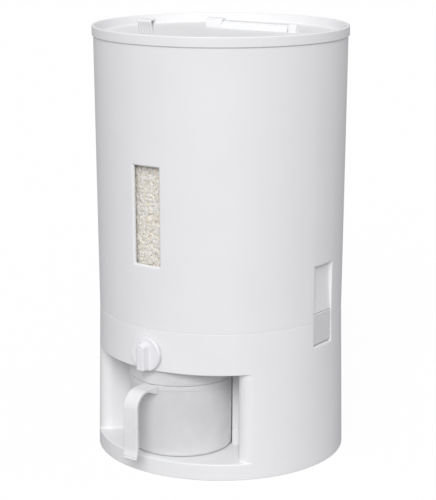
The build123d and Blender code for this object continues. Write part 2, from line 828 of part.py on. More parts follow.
def cup_handle():
    # Strap that leaves the cup below its rim, turns down and ends in a toe kicked outwards
    root = cup_y - cup_radius + cup_wall / 2
    top = cup_rim - handle_drop
    outer = cup_y - cup_radius - handle_reach
    inner = outer + handle_thickness
    under = top - handle_thickness
    bend_y = outer + handle_bend_radius
    bend_z = top - handle_bend_radius
    inside = handle_bend_radius - handle_thickness
    diagonal = cos(radians(45))
    toe_top = handle_end + handle_toe_height
    toe_outer = outer - handle_toe_kick
    toe_inner = toe_outer + handle_thickness
    root_low = top - handle_root_depth
    outside_bend = ThreePointArc((bend_y, top), (bend_y - handle_bend_radius * diagonal,
                                 bend_z + handle_bend_radius * diagonal), (outer, bend_z))
    inside_bend = ThreePointArc((inner, bend_z), (bend_y - inside * diagonal, bend_z + inside * diagonal),
                                (bend_y, under))
    strap = Polyline((outer, bend_z), (outer, toe_top), (toe_outer, handle_end),
                     (toe_inner, handle_end), (inner, toe_top), (inner, bend_z))
    gusset = Polyline((bend_y, under), (root, root_low), (root, top), (bend_y, top))
    outline = make_face(outside_bend + strap + inside_bend + gusset)
    knees = outline.vertices().filter_by(lambda v: abs(v.Y - toe_top) < handle_edge_radius)
    outline = fillet(knees, handle_toe_radius)
    throat = outline.vertices().sort_by_distance((bend_y, under))[0]
    outline = fillet(throat, handle_throat_radius)
    form = extrude(Plane.YZ * outline, handle_width / 2, both=True)
    ends = form.edges().filter_by(Axis.X, reverse=True)
    free = ends.filter_by(lambda e: e.center().Y < cup_y - cup_radius - cup_wall)
    return fillet(free, handle_edge_radius)


def measuring_cup():
    cup = cup_body() + cup_handle()
    hollow = Pos(0, cup_y, cup_bottom + cup_heel_radius) * Cylinder(
        cup_radius - cup_wall - cup_draft, cup_height, align=(Align.CENTER, Align.CENTER, Align.MIN))
    return cup - hollow


nodes = {
    "base_shell": base_shell,
    "bottom_plate": bottom_plate,
    "bottom_screws": bottom_screws,
    "floor_pads": floor_pads,
    "spout_collar": spout_collar,
    "deck_screws": deck_screws,
    "valve_housing": valve_housing,
    "housing_cap": housing_cap,
    "cap_screws": cap_screws,
    "rear_bush": rear_bush,
    "front_bush": front_bush,
    "throat_gasket": throat_gasket,
    "hopper_funnel": hopper_funnel,
    "funnel_screws": funnel_screws,
    "barrel_shell": barrel_shell,
    "window_pane": window_pane,
    "window_seal": window_seal,
    "rice_fill": rice_fill,
    "lid_ring": lid_ring,
    "lid_seal": lid_seal,
    "hinge_pin": lambda: hinge_rod(hinge_pin_radius),
    "latch_pins": latch_pins,
    "lid_flap": lid_flap,
    "flap_seal": flap_seal,
    "knob": knob,
    "valve_shaft": valve_shaft,
    "shaft_clip": shaft_clip,
    "valve_drum": valve_drum,
    "latch_right": latch,
    "latch_left": lambda: other_side(latch()),
    "measuring_cup": measuring_cup,
}

for name, make in nodes.items():
    export_step(make(), f"parts/{name}.step")
    print(name)
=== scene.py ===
import json

import bmesh
import bpy
import numpy as np
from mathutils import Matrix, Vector


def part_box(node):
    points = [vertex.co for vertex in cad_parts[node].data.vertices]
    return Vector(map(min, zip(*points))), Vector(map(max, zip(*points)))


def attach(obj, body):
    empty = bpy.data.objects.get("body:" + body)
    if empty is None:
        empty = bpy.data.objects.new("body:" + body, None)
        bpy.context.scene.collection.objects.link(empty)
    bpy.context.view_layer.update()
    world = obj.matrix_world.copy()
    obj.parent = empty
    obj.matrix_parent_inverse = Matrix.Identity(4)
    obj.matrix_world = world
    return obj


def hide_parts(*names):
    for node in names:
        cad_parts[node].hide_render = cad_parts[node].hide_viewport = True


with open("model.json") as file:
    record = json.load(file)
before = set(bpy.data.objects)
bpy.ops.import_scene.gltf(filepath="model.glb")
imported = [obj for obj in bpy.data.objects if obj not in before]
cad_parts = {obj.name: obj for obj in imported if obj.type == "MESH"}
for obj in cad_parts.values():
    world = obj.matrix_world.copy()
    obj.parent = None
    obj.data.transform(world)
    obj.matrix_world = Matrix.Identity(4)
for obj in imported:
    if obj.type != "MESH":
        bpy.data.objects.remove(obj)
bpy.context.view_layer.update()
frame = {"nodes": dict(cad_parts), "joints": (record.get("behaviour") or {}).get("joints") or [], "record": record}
nodes = frame["nodes"]
joints = {joint["name"]: joint for joint in frame["joints"]}
print("frame loaded:", len(nodes), "nodes")

# Shapes are worked out in millimetres and become metres in makePiece. Front is -Y, up is +Z.


def boxOf(node):
    # lowest and highest corner of a node
    return [np.array(corner) * 1000 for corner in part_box(node)]


def pivotOf(jointName):
    # a point on the joint's axis
    return np.array(joints[jointName]["pos_m"]) * 1000


def unit(vector):
    return vector / np.linalg.norm(vector, axis=-1, keepdims=True)


def gridFaces(rows, cols, wrapRows=False, wrapCols=False):
    # quads between neighbouring rows and columns of a grid of points
    row, col = np.meshgrid(np.arange(rows - (not wrapRows)), np.arange(cols - (not wrapCols)), indexing="ij")
    nextRow = (row + 1) % rows
    nextCol = (col + 1) % cols
    corners = [row * cols + col, row * cols + nextCol, nextRow * cols + nextCol, nextRow * cols + col]
    return np.stack(corners, -1).reshape(-1, 4)


def onCircle(angle):
    # points of a circle of radius one: x = cos a, y = sin a
    return np.stack([np.cos(angle), np.sin(angle)], -1)


roll = np.linspace(0, np.pi / 2, 5)     # quarter turn of a rolled edge
rollStart = 1 - np.cos(roll)            # 0 to 1, level at first
rollEnd = 1 - np.sin(roll)              # 1 to 0, level at last


def roundOutline(cornersAndRadii, steps=6, closed=True):
    # straight runs between (u, v, radius) corners, each corner an arc of its radius tangent to both runs
    corners, radii = np.split(np.array(cornersAndRadii, float), [2], 1)
    pieces = []
    for index, radius in enumerate(radii[:, 0]):
        here = corners[index]
        isEnd = not closed and index in (0, len(corners) - 1)
        if isEnd or radius == 0:
            pieces.append(here[None])
            continue
        back = unit(corners[index - 1] - here)
        ahead = unit(corners[(index + 1) % len(corners)] - here)
        half = np.arccos(np.clip(back @ ahead, -1, 1)) / 2
        centre = here + unit(back + ahead) * radius / np.sin(half)
        fromCentre = here + back * radius / np.tan(half) - centre
        toCentre = here + ahead * radius / np.tan(half) - centre
        turn = np.pi - 2 * half
        share = np.linspace(0, turn, steps + 1)[:, None]
        pieces.append(centre + (np.sin(turn - share) * fromCentre + np.sin(share) * toCentre) / np.sin(turn))
    return np.concatenate(pieces)


def flatStrip(half, thickness, rounding, steps):
    # section of a strap with rounded edges
    thick = thickness / 2
    return roundOutline([(-half, -thick, rounding), (half, -thick, rounding), (half, thick, rounding),
                         (-half, thick, rounding)], steps)


def lathe(profile, steps, centre=(0, 0), closed=True):
    # (radius, height) profile turned about an upright axis: x = r cos a, y = r sin a, z = height
    angle = np.linspace(0, 2 * np.pi, steps, endpoint=False)
    radius = profile[:, :1]
    points = np.stack([centre[0] + radius * np.cos(angle), centre[1] + radius * np.sin(angle),
                       np.repeat(profile[:, 1:], steps, 1)], -1)
    return points.reshape(-1, 3), list(gridFaces(len(profile), steps, closed, True))


def insetRays(outline):
    # for each point of a closed outline, the step inwards that moves both its sides in by one
    side = unit(np.roll(outline, -1, 0) - outline)
    left = np.stack([-side[:, 1], side[:, 0]], 1)
    x, y = outline.T
    if np.sum(x * np.roll(y, -1) - np.roll(x, -1) * y) < 0:
        left = -left
    before = np.roll(left, 1, 0)
    return (left + before) / (1 + np.sum(left * before, 1, keepdims=True))


def prism(outline, low, high, lowRound, highRound, place, capHigh=True, draft=0.0):
    # outline carried from low to high, drawn in by the draft, each rim rolled over by a quarter circle
    inset = np.concatenate([lowRound * rollEnd, highRound * rollStart])
    level = np.concatenate([low + lowRound * rollStart, high - highRound * rollEnd])
    inset = inset + draft * (level - low)
    rings = outline[None] + insetRays(outline)[None] * inset[:, None, None]
    count = len(outline)
    points = place(rings[..., 0], rings[..., 1], np.repeat(level[:, None], count, 1))
    faces = list(gridFaces(len(level), count, False, True))
    faces.append(np.arange(count)[::-1])
    if capHigh:
        faces.append(np.arange(count) + count * (len(level) - 1))
    return np.stack(points, -1).reshape(-1, 3), faces


def alongX(u, v, level):
    return level, u, v


def alongZ(u, v, level):
    return u, v, level


def sweep(path, section, across, closed=False):
    # section (across, outwards) carried along a path: outwards is square to the path and to across
    if closed:
        along = unit(np.roll(path, -1, 0) - np.roll(path, 1, 0))
    else:
        along = unit(np.gradient(path, axis=0))
    across = np.array(across, float)
    outwards = np.cross(along, across)
    section = np.broadcast_to(section, (len(path), *section.shape[-2:]))
    points = path[:, None] + section[..., :1] * across + section[..., 1:] * outwards[:, None]
    count = section.shape[1]
    faces = list(gridFaces(len(path), count, closed, True))
    if not closed:
        faces.append(np.arange(count))
        faces.append(np.arange(count)[::-1] + count * (len(path) - 1))
    return points.reshape(-1, 3), faces


def runAlong(path):
    # length of a path from its start to each of its points
    return np.concatenate([[0], np.cumsum(np.linalg.norm(np.diff(path, axis=0), axis=1))])


def evenPath(path, spacing):
    # the same path with points at equal steps of its length
    run = runAlong(path)
    at = np.linspace(0, run[-1], int(run[-1] / spacing) + 1)
    return np.stack([np.interp(at, run, column) for column in path.T], 1)


def addObject(name, data):
    added = bpy.data.objects.new(name, data)
    bpy.context.scene.collection.objects.link(added)
    return added


merging = {
    "doubles": 2e-6,        # metres
    "slivers": 1e-7,        # metres
    "sharpAngle": 38,       # degrees
    "flatWeight": 90,
}


def makePiece(name, parts, body, material, replaced=(), tints=None, turnOut=True):
    # joins (points, faces) parts into one closed piece that rides on a body
    points, faces, start = [], [], 0
    for partPoints, partFaces in parts:
        points.append(partPoints)
        faces += [[int(corner) + start for corner in face] for face in partFaces]
        start += len(partPoints)
    mesh = bpy.data.meshes.new(name)
    mesh.from_pydata(np.concatenate(points) * 0.001, [], faces)
    if tints is not None:
        layer = mesh.attributes.new("grainTint", "FLOAT", "POINT")
        layer.data.foreach_set("value", tints.astype(np.float32))
    work = bmesh.new()
    work.from_mesh(mesh)
    bmesh.ops.remove_doubles(work, verts=work.verts, dist=merging["doubles"])
    bmesh.ops.dissolve_degenerate(work, edges=work.edges, dist=merging["slivers"])
    if turnOut:    # needed unless every part is already built facing outwards
        bmesh.ops.recalc_face_normals(work, faces=work.faces)
    work.to_mesh(mesh)
    work.free()
    mesh.shade_smooth()
    mesh.set_sharp_from_angle(angle=np.radians(merging["sharpAngle"]))
    piece = addObject(name, mesh)
    mesh.materials.append(material)
    if tints is None:
        weigh = piece.modifiers.new("flatFacesStayFlat", "WEIGHTED_NORMAL")
        weigh.weight = merging["flatWeight"]
        weigh.keep_sharp = True
    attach(piece, body)
    if replaced:
        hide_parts(*replaced)


# Materials


def linear(hexText):
    # sRGB hex to linear colour
    srgb = np.array([int(hexText[i:i + 2], 16) for i in (1, 3, 5)]) / 255
    rgb = np.where(srgb <= 0.04045, srgb / 12.92, ((srgb + 0.055) / 1.055) ** 2.4)
    return (*rgb, 1.0)


def addNode(tree, kind, settings=None, **links):
    # one node: settings go to its sockets or properties, links feed its sockets, by name or as input0, input1
    node = tree.nodes.new(kind)
    for key, value in (settings or {}).items():
        if key == "ramp":
            for stop, (place, colour) in zip(node.color_ramp.elements, value):
                stop.position = place
                stop.color = colour
        elif key in node.inputs:
            node.inputs[key].default_value = value
        else:
            setattr(node, key, value)
    for key, source in links.items():
        socket = int(key[-1]) if key.startswith("input") else key.replace("_", " ")
        tree.links.new(source, node.inputs[socket])
    return node


def startMaterial(name):
    material = bpy.data.materials.new(name)
    material.use_nodes = True
    material.node_tree.nodes.clear()
    return material, material.node_tree


def perMetre(millimetres):
    # noise scale whose spots are about this size
    return 1000 / millimetres


# what most of the plastics share
plainFinish = {"gritSize": 0.9, "gritStrength": 0.12, "ior": 1.49, "glow": 0.0, "glowDepth": 2.0}
noiseLow, noiseHigh = 0.3, 0.7      # most of a noise texture lies between these


def mouldedPlastic(name, ownFinish):
    # colour drifts a little with the flow of the melt, and a fine grit from the mould breaks up the shine
    finish = {**plainFinish, **ownFinish}
    material, tree = startMaterial(name)
    place = addNode(tree, "ShaderNodeTexCoord").outputs["Object"]
    cloud = addNode(tree, "ShaderNodeTexNoise", {"Scale": perMetre(finish["cloudSize"]), "Detail": 4.0},
                    Vector=place)
    stops = [(noiseLow, linear(finish["deep"])), (noiseHigh, linear(finish["pale"]))]
    colour = addNode(tree, "ShaderNodeValToRGB", {"ramp": stops}, Fac=cloud.outputs["Fac"])
    rub = addNode(tree, "ShaderNodeTexNoise", {"Scale": perMetre(finish["rubSize"]), "Detail": 6.0},
                  Vector=place)
    low, high = finish["roughness"]
    rough = addNode(tree, "ShaderNodeMapRange", {
        "From Min": noiseLow, "From Max": noiseHigh, "To Min": low, "To Max": high}, Value=rub.outputs["Fac"])
    grit = addNode(tree, "ShaderNodeTexNoise", {"Scale": perMetre(finish["gritSize"]), "Detail": 2.0},
                   Vector=place)
    bump = addNode(tree, "ShaderNodeBump", {"Strength": finish["gritStrength"], "Distance": 0.0001},
                   Height=grit.outputs["Fac"])
    shader = addNode(tree, "ShaderNodeBsdfPrincipled", {
        "IOR": finish["ior"], "Subsurface Weight": finish["glow"], "Subsurface Radius": (1.0, 1.0, 1.0),
        "Subsurface Scale": finish["glowDepth"] / 1000},
        Base_Color=colour.outputs["Color"], Roughness=rough.outputs["Result"], Normal=bump.outputs["Normal"])
    addNode(tree, "ShaderNodeOutputMaterial", Surface=shader.outputs["BSDF"])
    return material


# Polypropylene from a spark-eroded mould: satin white with a soft, wide highlight. Its grit is about 0.2 mm,
# too fine to show, so it is drawn at plainFinish's size.
shellPlastic = mouldedPlastic("satinPolypropylene", {
    "pale": "#F1F1F2", "deep": "#EEEEEF", "cloudSize": 70.0, "rubSize": 28.0, "roughness": (0.40, 0.50)})

# ABS from a polished mould: the knob takes a tighter highlight than the shells
knobPlastic = mouldedPlastic("polishedAbs", {
    "pale": "#F1F1F3", "deep": "#EDEDF0", "cloudSize": 30.0, "rubSize": 12.0, "roughness": (0.26, 0.34),
    "gritSize": 1.2, "gritStrength": 0.05, "ior": 1.53})

# Acetal for the latches, because it springs: the same white set a shade greyer, which is painted shade on the
# latch panels, from a spark-eroded mould
shadedLatchPlastic = mouldedPlastic("satinAcetal", {
    "pale": "#E3E3E5", "deep": "#DEDEE0", "cloudSize": 25.0, "rubSize": 9.0, "roughness": (0.38, 0.48),
    "ior": 1.48})

# Natural polypropylene, frosted: milky grey-white with clouds of uneven tone. Its colour is set darker than the
# strap's, which is painted shade for the alcove the cup stands in
shadedCupPlastic = mouldedPlastic("frostedPolypropylene", {
    "pale": "#E6E6E7", "deep": "#DFDFE0", "cloudSize": 22.0, "rubSize": 16.0, "roughness": (0.46, 0.58),
    "glow": 0.9, "glowDepth": 5.0})

# Its strap is the same polypropylene, solid and thicker with little glow, coloured lighter than the cup: painted
# light for the strap that stands out of the alcove's shade
litStrapPlastic = mouldedPlastic("thickPolypropylene", {
    "pale": "#EFEFF0", "deep": "#E9E9EA", "cloudSize": 18.0, "rubSize": 16.0, "roughness": (0.42, 0.54),
    "glow": 0.1})

# The same polypropylene inside the drum, less evenly coloured
hopperPlastic = mouldedPlastic("plainPolypropylene", {
    "pale": "#E8E8E6", "deep": "#DFDFDC", "cloudSize": 40.0, "rubSize": 20.0, "roughness": (0.45, 0.6),
    "gritSize": 1.0, "gritStrength": 0.15})

# Acetal for the valve: hard, slightly waxy and a little yellower
valvePlastic = mouldedPlastic("waxyAcetal", {
    "pale": "#E6E5E0", "deep": "#DCDAD2", "cloudSize": 18.0, "rubSize": 9.0, "roughness": (0.3, 0.42),
    "gritSize": 0.8, "gritStrength": 0.08, "ior": 1.48, "glow": 0.1})
bushPlastic = mouldedPlastic("turnedAcetal", {
    "pale": "#D2D0C8", "deep": "#C4C1B6", "cloudSize": 6.0, "rubSize": 3.0, "roughness": (0.3, 0.45),
    "gritSize": 0.5, "gritStrength": 0.2, "ior": 1.48})

# Moulded food-grade silicone: milky, matt and soft, a little greyer where it has picked up dust
sealRubber = mouldedPlastic("mouldedSilicone", {
    "pale": "#F0F0EE", "deep": "#E3E3E0", "cloudSize": 15.0, "rubSize": 5.0, "roughness": (0.65, 0.8),
    "gritSize": 0.7, "gritStrength": 0.25, "ior": 1.41, "glow": 0.2})


def platedSteel():
    # zinc-plated steel wire and screws: bright metal with fine drawn lines, drawn at 0.25 mm to show
    material, tree = startMaterial("zincPlatedSteel")
    place = addNode(tree, "ShaderNodeTexCoord").outputs["Object"]
    turned = addNode(tree, "ShaderNodeMapping", {"Scale": (1.0, 0.08, 1.0)}, Vector=place)
    lines = addNode(tree, "ShaderNodeTexNoise", {"Scale": perMetre(0.25), "Detail": 3.0},
                    Vector=turned.outputs["Vector"])
    rough = addNode(tree, "ShaderNodeMapRange", {"To Min": 0.22, "To Max": 0.42}, Value=lines.outputs["Fac"])
    stops = [(0.35, linear("#B3B5B8")), (0.7, linear("#C9CACC"))]
    colour = addNode(tree, "ShaderNodeValToRGB", {"ramp": stops}, Fac=lines.outputs["Fac"])
    shader = addNode(tree, "ShaderNodeBsdfPrincipled", {"Metallic": 1.0}, Base_Color=colour.outputs["Color"],
                     Roughness=rough.outputs["Result"])
    addNode(tree, "ShaderNodeOutputMaterial", Surface=shader.outputs["BSDF"])
    return material


def clearPane():
    # polished clear styrene: a see-through sheet with a thin gloss that is a little hazy in places
    material, tree = startMaterial("clearStyrene")
    place = addNode(tree, "ShaderNodeTexCoord").outputs["Object"]
    haze = addNode(tree, "ShaderNodeTexNoise", {"Scale": perMetre(14.0), "Detail": 3.0}, Vector=place)
    rough = addNode(tree, "ShaderNodeMapRange", {"To Min": 0.02, "To Max": 0.08}, Value=haze.outputs["Fac"])
    through = addNode(tree, "ShaderNodeBsdfTransparent", {"Color": linear("#FEFEFE")})
    gloss = addNode(tree, "ShaderNodeBsdfGlossy", {"Color": linear("#FFFFFF")},
                    Roughness=rough.outputs["Result"])
    edge = addNode(tree, "ShaderNodeLayerWeight", {"Blend": 0.06})
    mix = addNode(tree, "ShaderNodeMixShader", Fac=edge.outputs["Facing"], input1=through.outputs["BSDF"],
                  input2=gloss.outputs["BSDF"])
    addNode(tree, "ShaderNodeOutputMaterial", Surface=mix.outputs["Shader"])
    return material


def milledRice():
    # polished white rice: pearly grains from chalk white to straw, each with its own tint
    material, tree = startMaterial("milledRice")
    place = addNode(tree, "ShaderNodeTexCoord").outputs["Object"]
    tint = addNode(tree, "ShaderNodeAttribute", {"attribute_name": "grainTint"})
    stops = [(0.0, linear("#F1E7D5")), (0.8, linear("#FEFAF2"))]
    colour = addNode(tree, "ShaderNodeValToRGB", {"ramp": stops}, Fac=tint.outputs["Fac"])
    chalk = addNode(tree, "ShaderNodeTexNoise", {"Scale": perMetre(1.2), "Detail": 2.0}, Vector=place)
    bump = addNode(tree, "ShaderNodeBump", {"Strength": 0.3, "Distance": 0.0003}, Height=chalk.outputs["Fac"])
    rough = addNode(tree, "ShaderNodeMapRange", {"To Min": 0.35, "To Max": 0.55}, Value=chalk.outputs["Fac"])
    shader = addNode(tree, "ShaderNodeBsdfPrincipled", {
        "IOR": 1.5, "Subsurface Weight": 0.25, "Subsurface Radius": (1.0, 0.85, 0.6),
        "Subsurface Scale": 0.0012},
        Base_Color=colour.outputs["Color"], Roughness=rough.outputs["Result"], Normal=bump.outputs["Normal"])
    addNode(tree, "ShaderNodeOutputMaterial", Surface=shader.outputs["BSDF"])
    return material


steel = platedSteel()
pane = clearPane()
rice = milledRice()
slotFinish = {
    "white_shell": shellPlastic, "white_knob": knobPlastic, "frosted_cup": shadedCupPlastic,
    "hopper_plastic": hopperPlastic, "valve_plastic": valvePlastic, "bush_plastic": bushPlastic,
    "steel": steel, "soft_rubber": sealRubber, "clear_pane": pane, "rice_grain": rice,
}
for subpart in frame["record"]["subparts"]:
    for slot in nodes[subpart["node"]].material_slots:
        slot.material = slotFinish[subpart["material_slot"]]
nodes["spout_collar"].material_slots[0].material = shadedCupPlastic    # the collar is moulded of the cup's plastic, whose darker colour is also painted shade for the collar under the drum's overhang
print("materials:", len(slotFinish))

# Drum: its radius at any height, and the columns that its two shells share

drum = {
    "footRadius": boxOf("base_shell")[1][0],
    "seamRadius": 122.15,
    "rimRadius": boxOf("barrel_shell")[1][0],
    "seamHeight": boxOf("base_shell")[1][2],
    "top": boxOf("barrel_shell")[1][2],
    "wall": 2.5,
    "rimRound": 0.5,      # rolled edges that meet in the seam's fine groove
    "backColumns": 26,    # from a scoop to the middle of the back
}
cupAxis = pivotOf("knob_turn")[:2]


def drumRadius(z):
    # outer radius: two straight drafts that meet at the seam
    lower = drum["footRadius"] + (drum["seamRadius"] - drum["footRadius"]) * z / drum["seamHeight"]
    rise = (z - drum["seamHeight"]) / (drum["top"] - drum["seamHeight"])
    return np.where(z <= drum["seamHeight"], lower,
                    drum["seamRadius"] + (drum["rimRadius"] - drum["seamRadius"]) * rise)


latch = {
    "half": boxOf("latch_right")[1][1],
    "outer": boxOf("latch_right")[1][0],
    "thickness": 2.6,
    "low": boxOf("latch_right")[0][2],
    "top": boxOf("latch_right")[1][2],
    "inner": boxOf("latch_right")[0][0],
    "hookLow": 148.35,
    "hookHeight": 3.0,
    "hookReach": 3.0,
    "hookRound": 0.4,
    "topRound": 0.9,
    "innerRound": 0.3,
    "gap": 0.35,
    "edgeRound": 0.8,
}
scoop = {
    "height": 48.0,
    "depth": 4.0,         # under its upper edge
    "lip": 2.2,           # at its foot
    "hollowRadius": 400.0,
    "cornerRound": 2.5,
    "edgeRound": 0.8,
    "backing": 2.4,
    "lead": (8.0, 4.5, 2.2),      # columns on the drum, before the edge
    "inner": (0.6, 0.2),          # columns on the floor, as shares of its half width
}
sideCount = 2 * (len(scoop["lead"]) + 2 * len(roll) + len(scoop["inner"]))
pocketHalf = latch["half"] + latch["gap"]
pocketFloor = latch["inner"] - latch["gap"]
pocketLow = latch["low"] - latch["gap"]
scoopLow = latch["top"] + latch["gap"]
scoopTop = scoopLow + scoop["height"]


def scoopFloor(z):
    # x of the scoop's floor: an arc from the lip at its foot to its full depth under the upper edge
    foot = np.array([drumRadius(scoopLow) - scoop["lip"], scoopLow])
    head = np.array([drumRadius(scoopTop) - scoop["depth"], scoopTop])
    half = np.linalg.norm(head - foot) / 2
    side = unit(np.array([head[1] - foot[1], foot[0] - head[0]]))
    centre = (foot + head) / 2 + side * np.sqrt(scoop["hollowRadius"] ** 2 - half ** 2)
    return centre[0] - np.sqrt(scoop["hollowRadius"] ** 2 - (z - centre[1]) ** 2)


def sideColumns(radius, floorX, rowLimit, grow):
    # columns round +X at fixed y: the wall of the recess drops from a rolled edge to its floor over a fillet
    half = pocketHalf + grow
    edge = scoop["edgeRound"]
    radius, floorX, rowLimit = (value[:, None] for value in (radius, floorX, rowLimit))
    edgeX = np.sqrt(radius ** 2 - half ** 2)
    depth = edgeX - floorX
    fillet = np.clip(np.minimum(scoop["cornerRound"], 0.8 * depth), 0.1, None)
    one = np.ones_like(radius)
    lead, inner = np.array(scoop["lead"]), np.array(scoop["inner"])
    y = np.concatenate([half + lead * one, half + edge * rollEnd * one,
                        half - fillet * rollStart, (half - fillet) * inner], 1)
    drop = np.concatenate([0 * lead * one, edge * rollStart * one,
                           depth - fillet * rollEnd, depth * np.ones_like(inner)], 1)
    isEdge = np.arange(y.shape[1]) < len(lead) + len(roll)
    surface = np.sqrt(radius ** 2 - y ** 2)
    bottom = np.where(isEdge, surface, edgeX) - drop
    x = np.maximum(bottom, surface - rowLimit)
    near, far = np.stack([x, -y], -1), np.stack([x, y], -1)
    return np.concatenate([near, far[:, ::-1]], 1)


def angleOf(points):
    return np.arctan2(points[:, 1], points[:, 0])[:, None]


def drumRows(front, z, radius, recess, grow, arcColumns):
    # rows of a shell's skin: front columns, an arc to the recess, the recess and an arc to the back's middle,
    # x = r cos a and y = r sin a, then their mirror images from back to front
    side = sideColumns(radius, *recess, grow)
    start, end = angleOf(front[:, -1]), angleOf(side[:, 0])
    share = np.linspace(0, 1, arcColumns + 2)[1:-1]
    toSide = radius[:, None, None] * onCircle(start + (end - start) * share)
    start, end = angleOf(side[:, -1]), np.pi / 2
    share = np.linspace(0, 1, drum["backColumns"] + 1)[1:]
    toBack = radius[:, None, None] * onCircle(start + (end - start) * share)
    right = np.concatenate([front, toSide, side, toBack], 1)
    right = np.concatenate([right, np.broadcast_to(z, right.shape[:2])[..., None]], -1)
    left = right[:, -2:0:-1] * np.array([-1, 1, 1])
    return np.concatenate([right, left], 1)


def closedShell(outer, inner, openCells=None):
    # outer skin from foot to top, then inner skin from top to foot, closed over both rims
    grid = np.concatenate([outer, inner[::-1]])
    rows, cols = grid.shape[:2]
    faces = gridFaces(rows, cols, True, True)
    if openCells is not None:
        rim = np.zeros((1, cols), bool)
        blocked = np.concatenate([openCells, rim, openCells[::-1], rim])
        faces = faces[~blocked.ravel()]
    return grid.reshape(-1, 3), list(faces)


# Barrel

barrel = {
    "windowHalf": 14.85,
    "windowLow": 207.5,
    "windowHigh": 302.7,
    "windowRound": 1.9,
    "openColumns": 9,           # from the window's middle to its side
    "beside": (2.5, 5.0, 9.0),  # columns on the drum, past the window's side
    "arcColumns": 14,           # from there to the scoop
    "scoopLead": 4.0,           # row below the scoop
    "scoopRows": 14,
    "windowRows": 12,
    "upperRows": 8,
}


def barrelRows(grow):
    # heights up the barrel, with what the scoop and the window cut into each row
    half, edge, windowEdge = drum["rimRound"], scoop["edgeRound"], barrel["windowRound"]
    bottom, top = drum["seamHeight"], drum["top"]
    low, high = scoopLow - grow, scoopTop + grow
    sill, head = barrel["windowLow"], barrel["windowHigh"]
    lipZ = low + edge * rollStart[:-1]
    floorZ = np.linspace(low + edge, high, barrel["scoopRows"])
    inWindow = np.linspace(sill, head, barrel["windowRows"])
    above = np.linspace(head + windowEdge, top - half, barrel["upperRows"])[1:-1]
    pocket = pocketFloor - grow
    lipX = scoopFloor(np.clip(lipZ, scoopLow, scoopTop)) - edge * rollEnd[:-1] - grow
    floorX = scoopFloor(np.clip(floorZ, scoopLow, scoopTop)) - grow
    # each stretch of rows: height, drawn in by, x of the recess's floor, cut by the recess, cut by the window
    stretches = [
        (bottom + half * rollStart, half * rollEnd, pocket, np.inf, 0),
        ([low - barrel["scoopLead"], low], 0, pocket, np.inf, 0),
        (lipZ, 0, lipX, np.inf, 0),
        (floorZ, 0, floorX, np.inf, 0),
        (high + edge * rollEnd[::-1], 0, pocket, edge * rollStart[::-1], 0),
        (sill - windowEdge * rollEnd, 0, pocket, 0, windowEdge * rollStart),
        (inWindow, 0, pocket, 0, np.inf),
        (head + windowEdge * rollEnd[::-1], 0, pocket, 0, windowEdge * rollStart[::-1]),
        (above, 0, pocket, 0, 0),
        (top - half * rollEnd, half * rollStart, pocket, 0, 0)]
    return [np.concatenate([np.broadcast_to(stretch[item], len(stretch[0])) for stretch in stretches])
            for item in range(5)]


def barrelSkin(depth, grow):
    # one skin of the barrel at a depth inside its surface, less what recess and window cut away; the window's
    # sides run from the outer to the inner skin
    z, inset, floorX, rowLimit, windowCut = barrelRows(grow)
    radius = drumRadius(z) - depth - inset * (depth == 0)
    edge = barrel["windowRound"]
    half = barrel["windowHalf"]
    openColumns, beside = barrel["openColumns"], np.array(barrel["beside"])
    x = np.concatenate([np.linspace(0, half, openColumns), half + edge * rollEnd[::-1], half + beside])
    cut = np.concatenate([np.full(openColumns, np.inf), edge * rollStart[::-1], 0 * beside])
    x = np.broadcast_to(x, (len(z), len(x)))
    y = -np.sqrt(radius[:, None] ** 2 - x ** 2)
    if depth == 0:
        through = -np.sqrt((drumRadius(z)[:, None] - drum["wall"]) ** 2 - x ** 2)
        y = np.minimum(y + np.minimum(windowCut[:, None], cut), through)
    front = np.stack([x, y], -1)
    return drumRows(front, z[:, None], radius, (floorX, rowLimit), grow, barrel["arcColumns"]), windowCut


def barrelPiece():
    outer, windowCut = barrelSkin(0, 0)
    inner = barrelSkin(drum["wall"], scoop["backing"])[0]
    cols = outer.shape[1]
    column = np.arange(cols)
    inFront = (column < barrel["openColumns"]) | (column > cols - barrel["openColumns"])
    inFront &= np.roll(inFront, -1)
    inRows = np.isinf(windowCut[:-1]) & np.isinf(windowCut[1:])
    openCells = inRows[:, None] & inFront
    return closedShell(outer, inner, openCells)


makePiece("barrelShell", [barrelPiece()], "root", shellPlastic, ["barrel_shell"])
print("barrel done")

# Base with the cup's alcove

base = {
    "floor": 16.2,
    "ceiling": 104.5,
    "alcoveRadius": 57.0,
    "flare": np.radians(34.5),
    "mouthRound": 11.0,
    "lipRound": 1.2,
    "cornerRound": 2.0,
    "footRound": 0.8,
    "floorThickness": 2.6,
    "plinthRows": (6.0, 11.0),
    "pocketLead": 4.0,      # row below the latch's pocket
    "pocketTrail": 3.0,     # last row of the pocket, below the seam
    "pocketRows": 5,
    "floorRows": 6,
    "wallRows": 12,
    "arcColumns": 10,       # from the alcove to the pocket
    "planColumns": (16, 9, 10),     # round the alcove's back, along its side and round the mouth's edge
    "fenceGap": 0.4,
    "fenceBack": 22.0,      # behind the cup's axis, as the kerb's
    "fenceShare": 0.9,      # of the wall behind it that it reaches into
    "fenceSunk": 1.0,       # into floor and ceiling
    "fenceColumns": 48,
    "kerbBack": 21.0,
    "kerbHeight": 14.8,
    "kerbRound": 0.8,
    "kerbInset": 0.05,      # keeps its face apart from the fence's
}


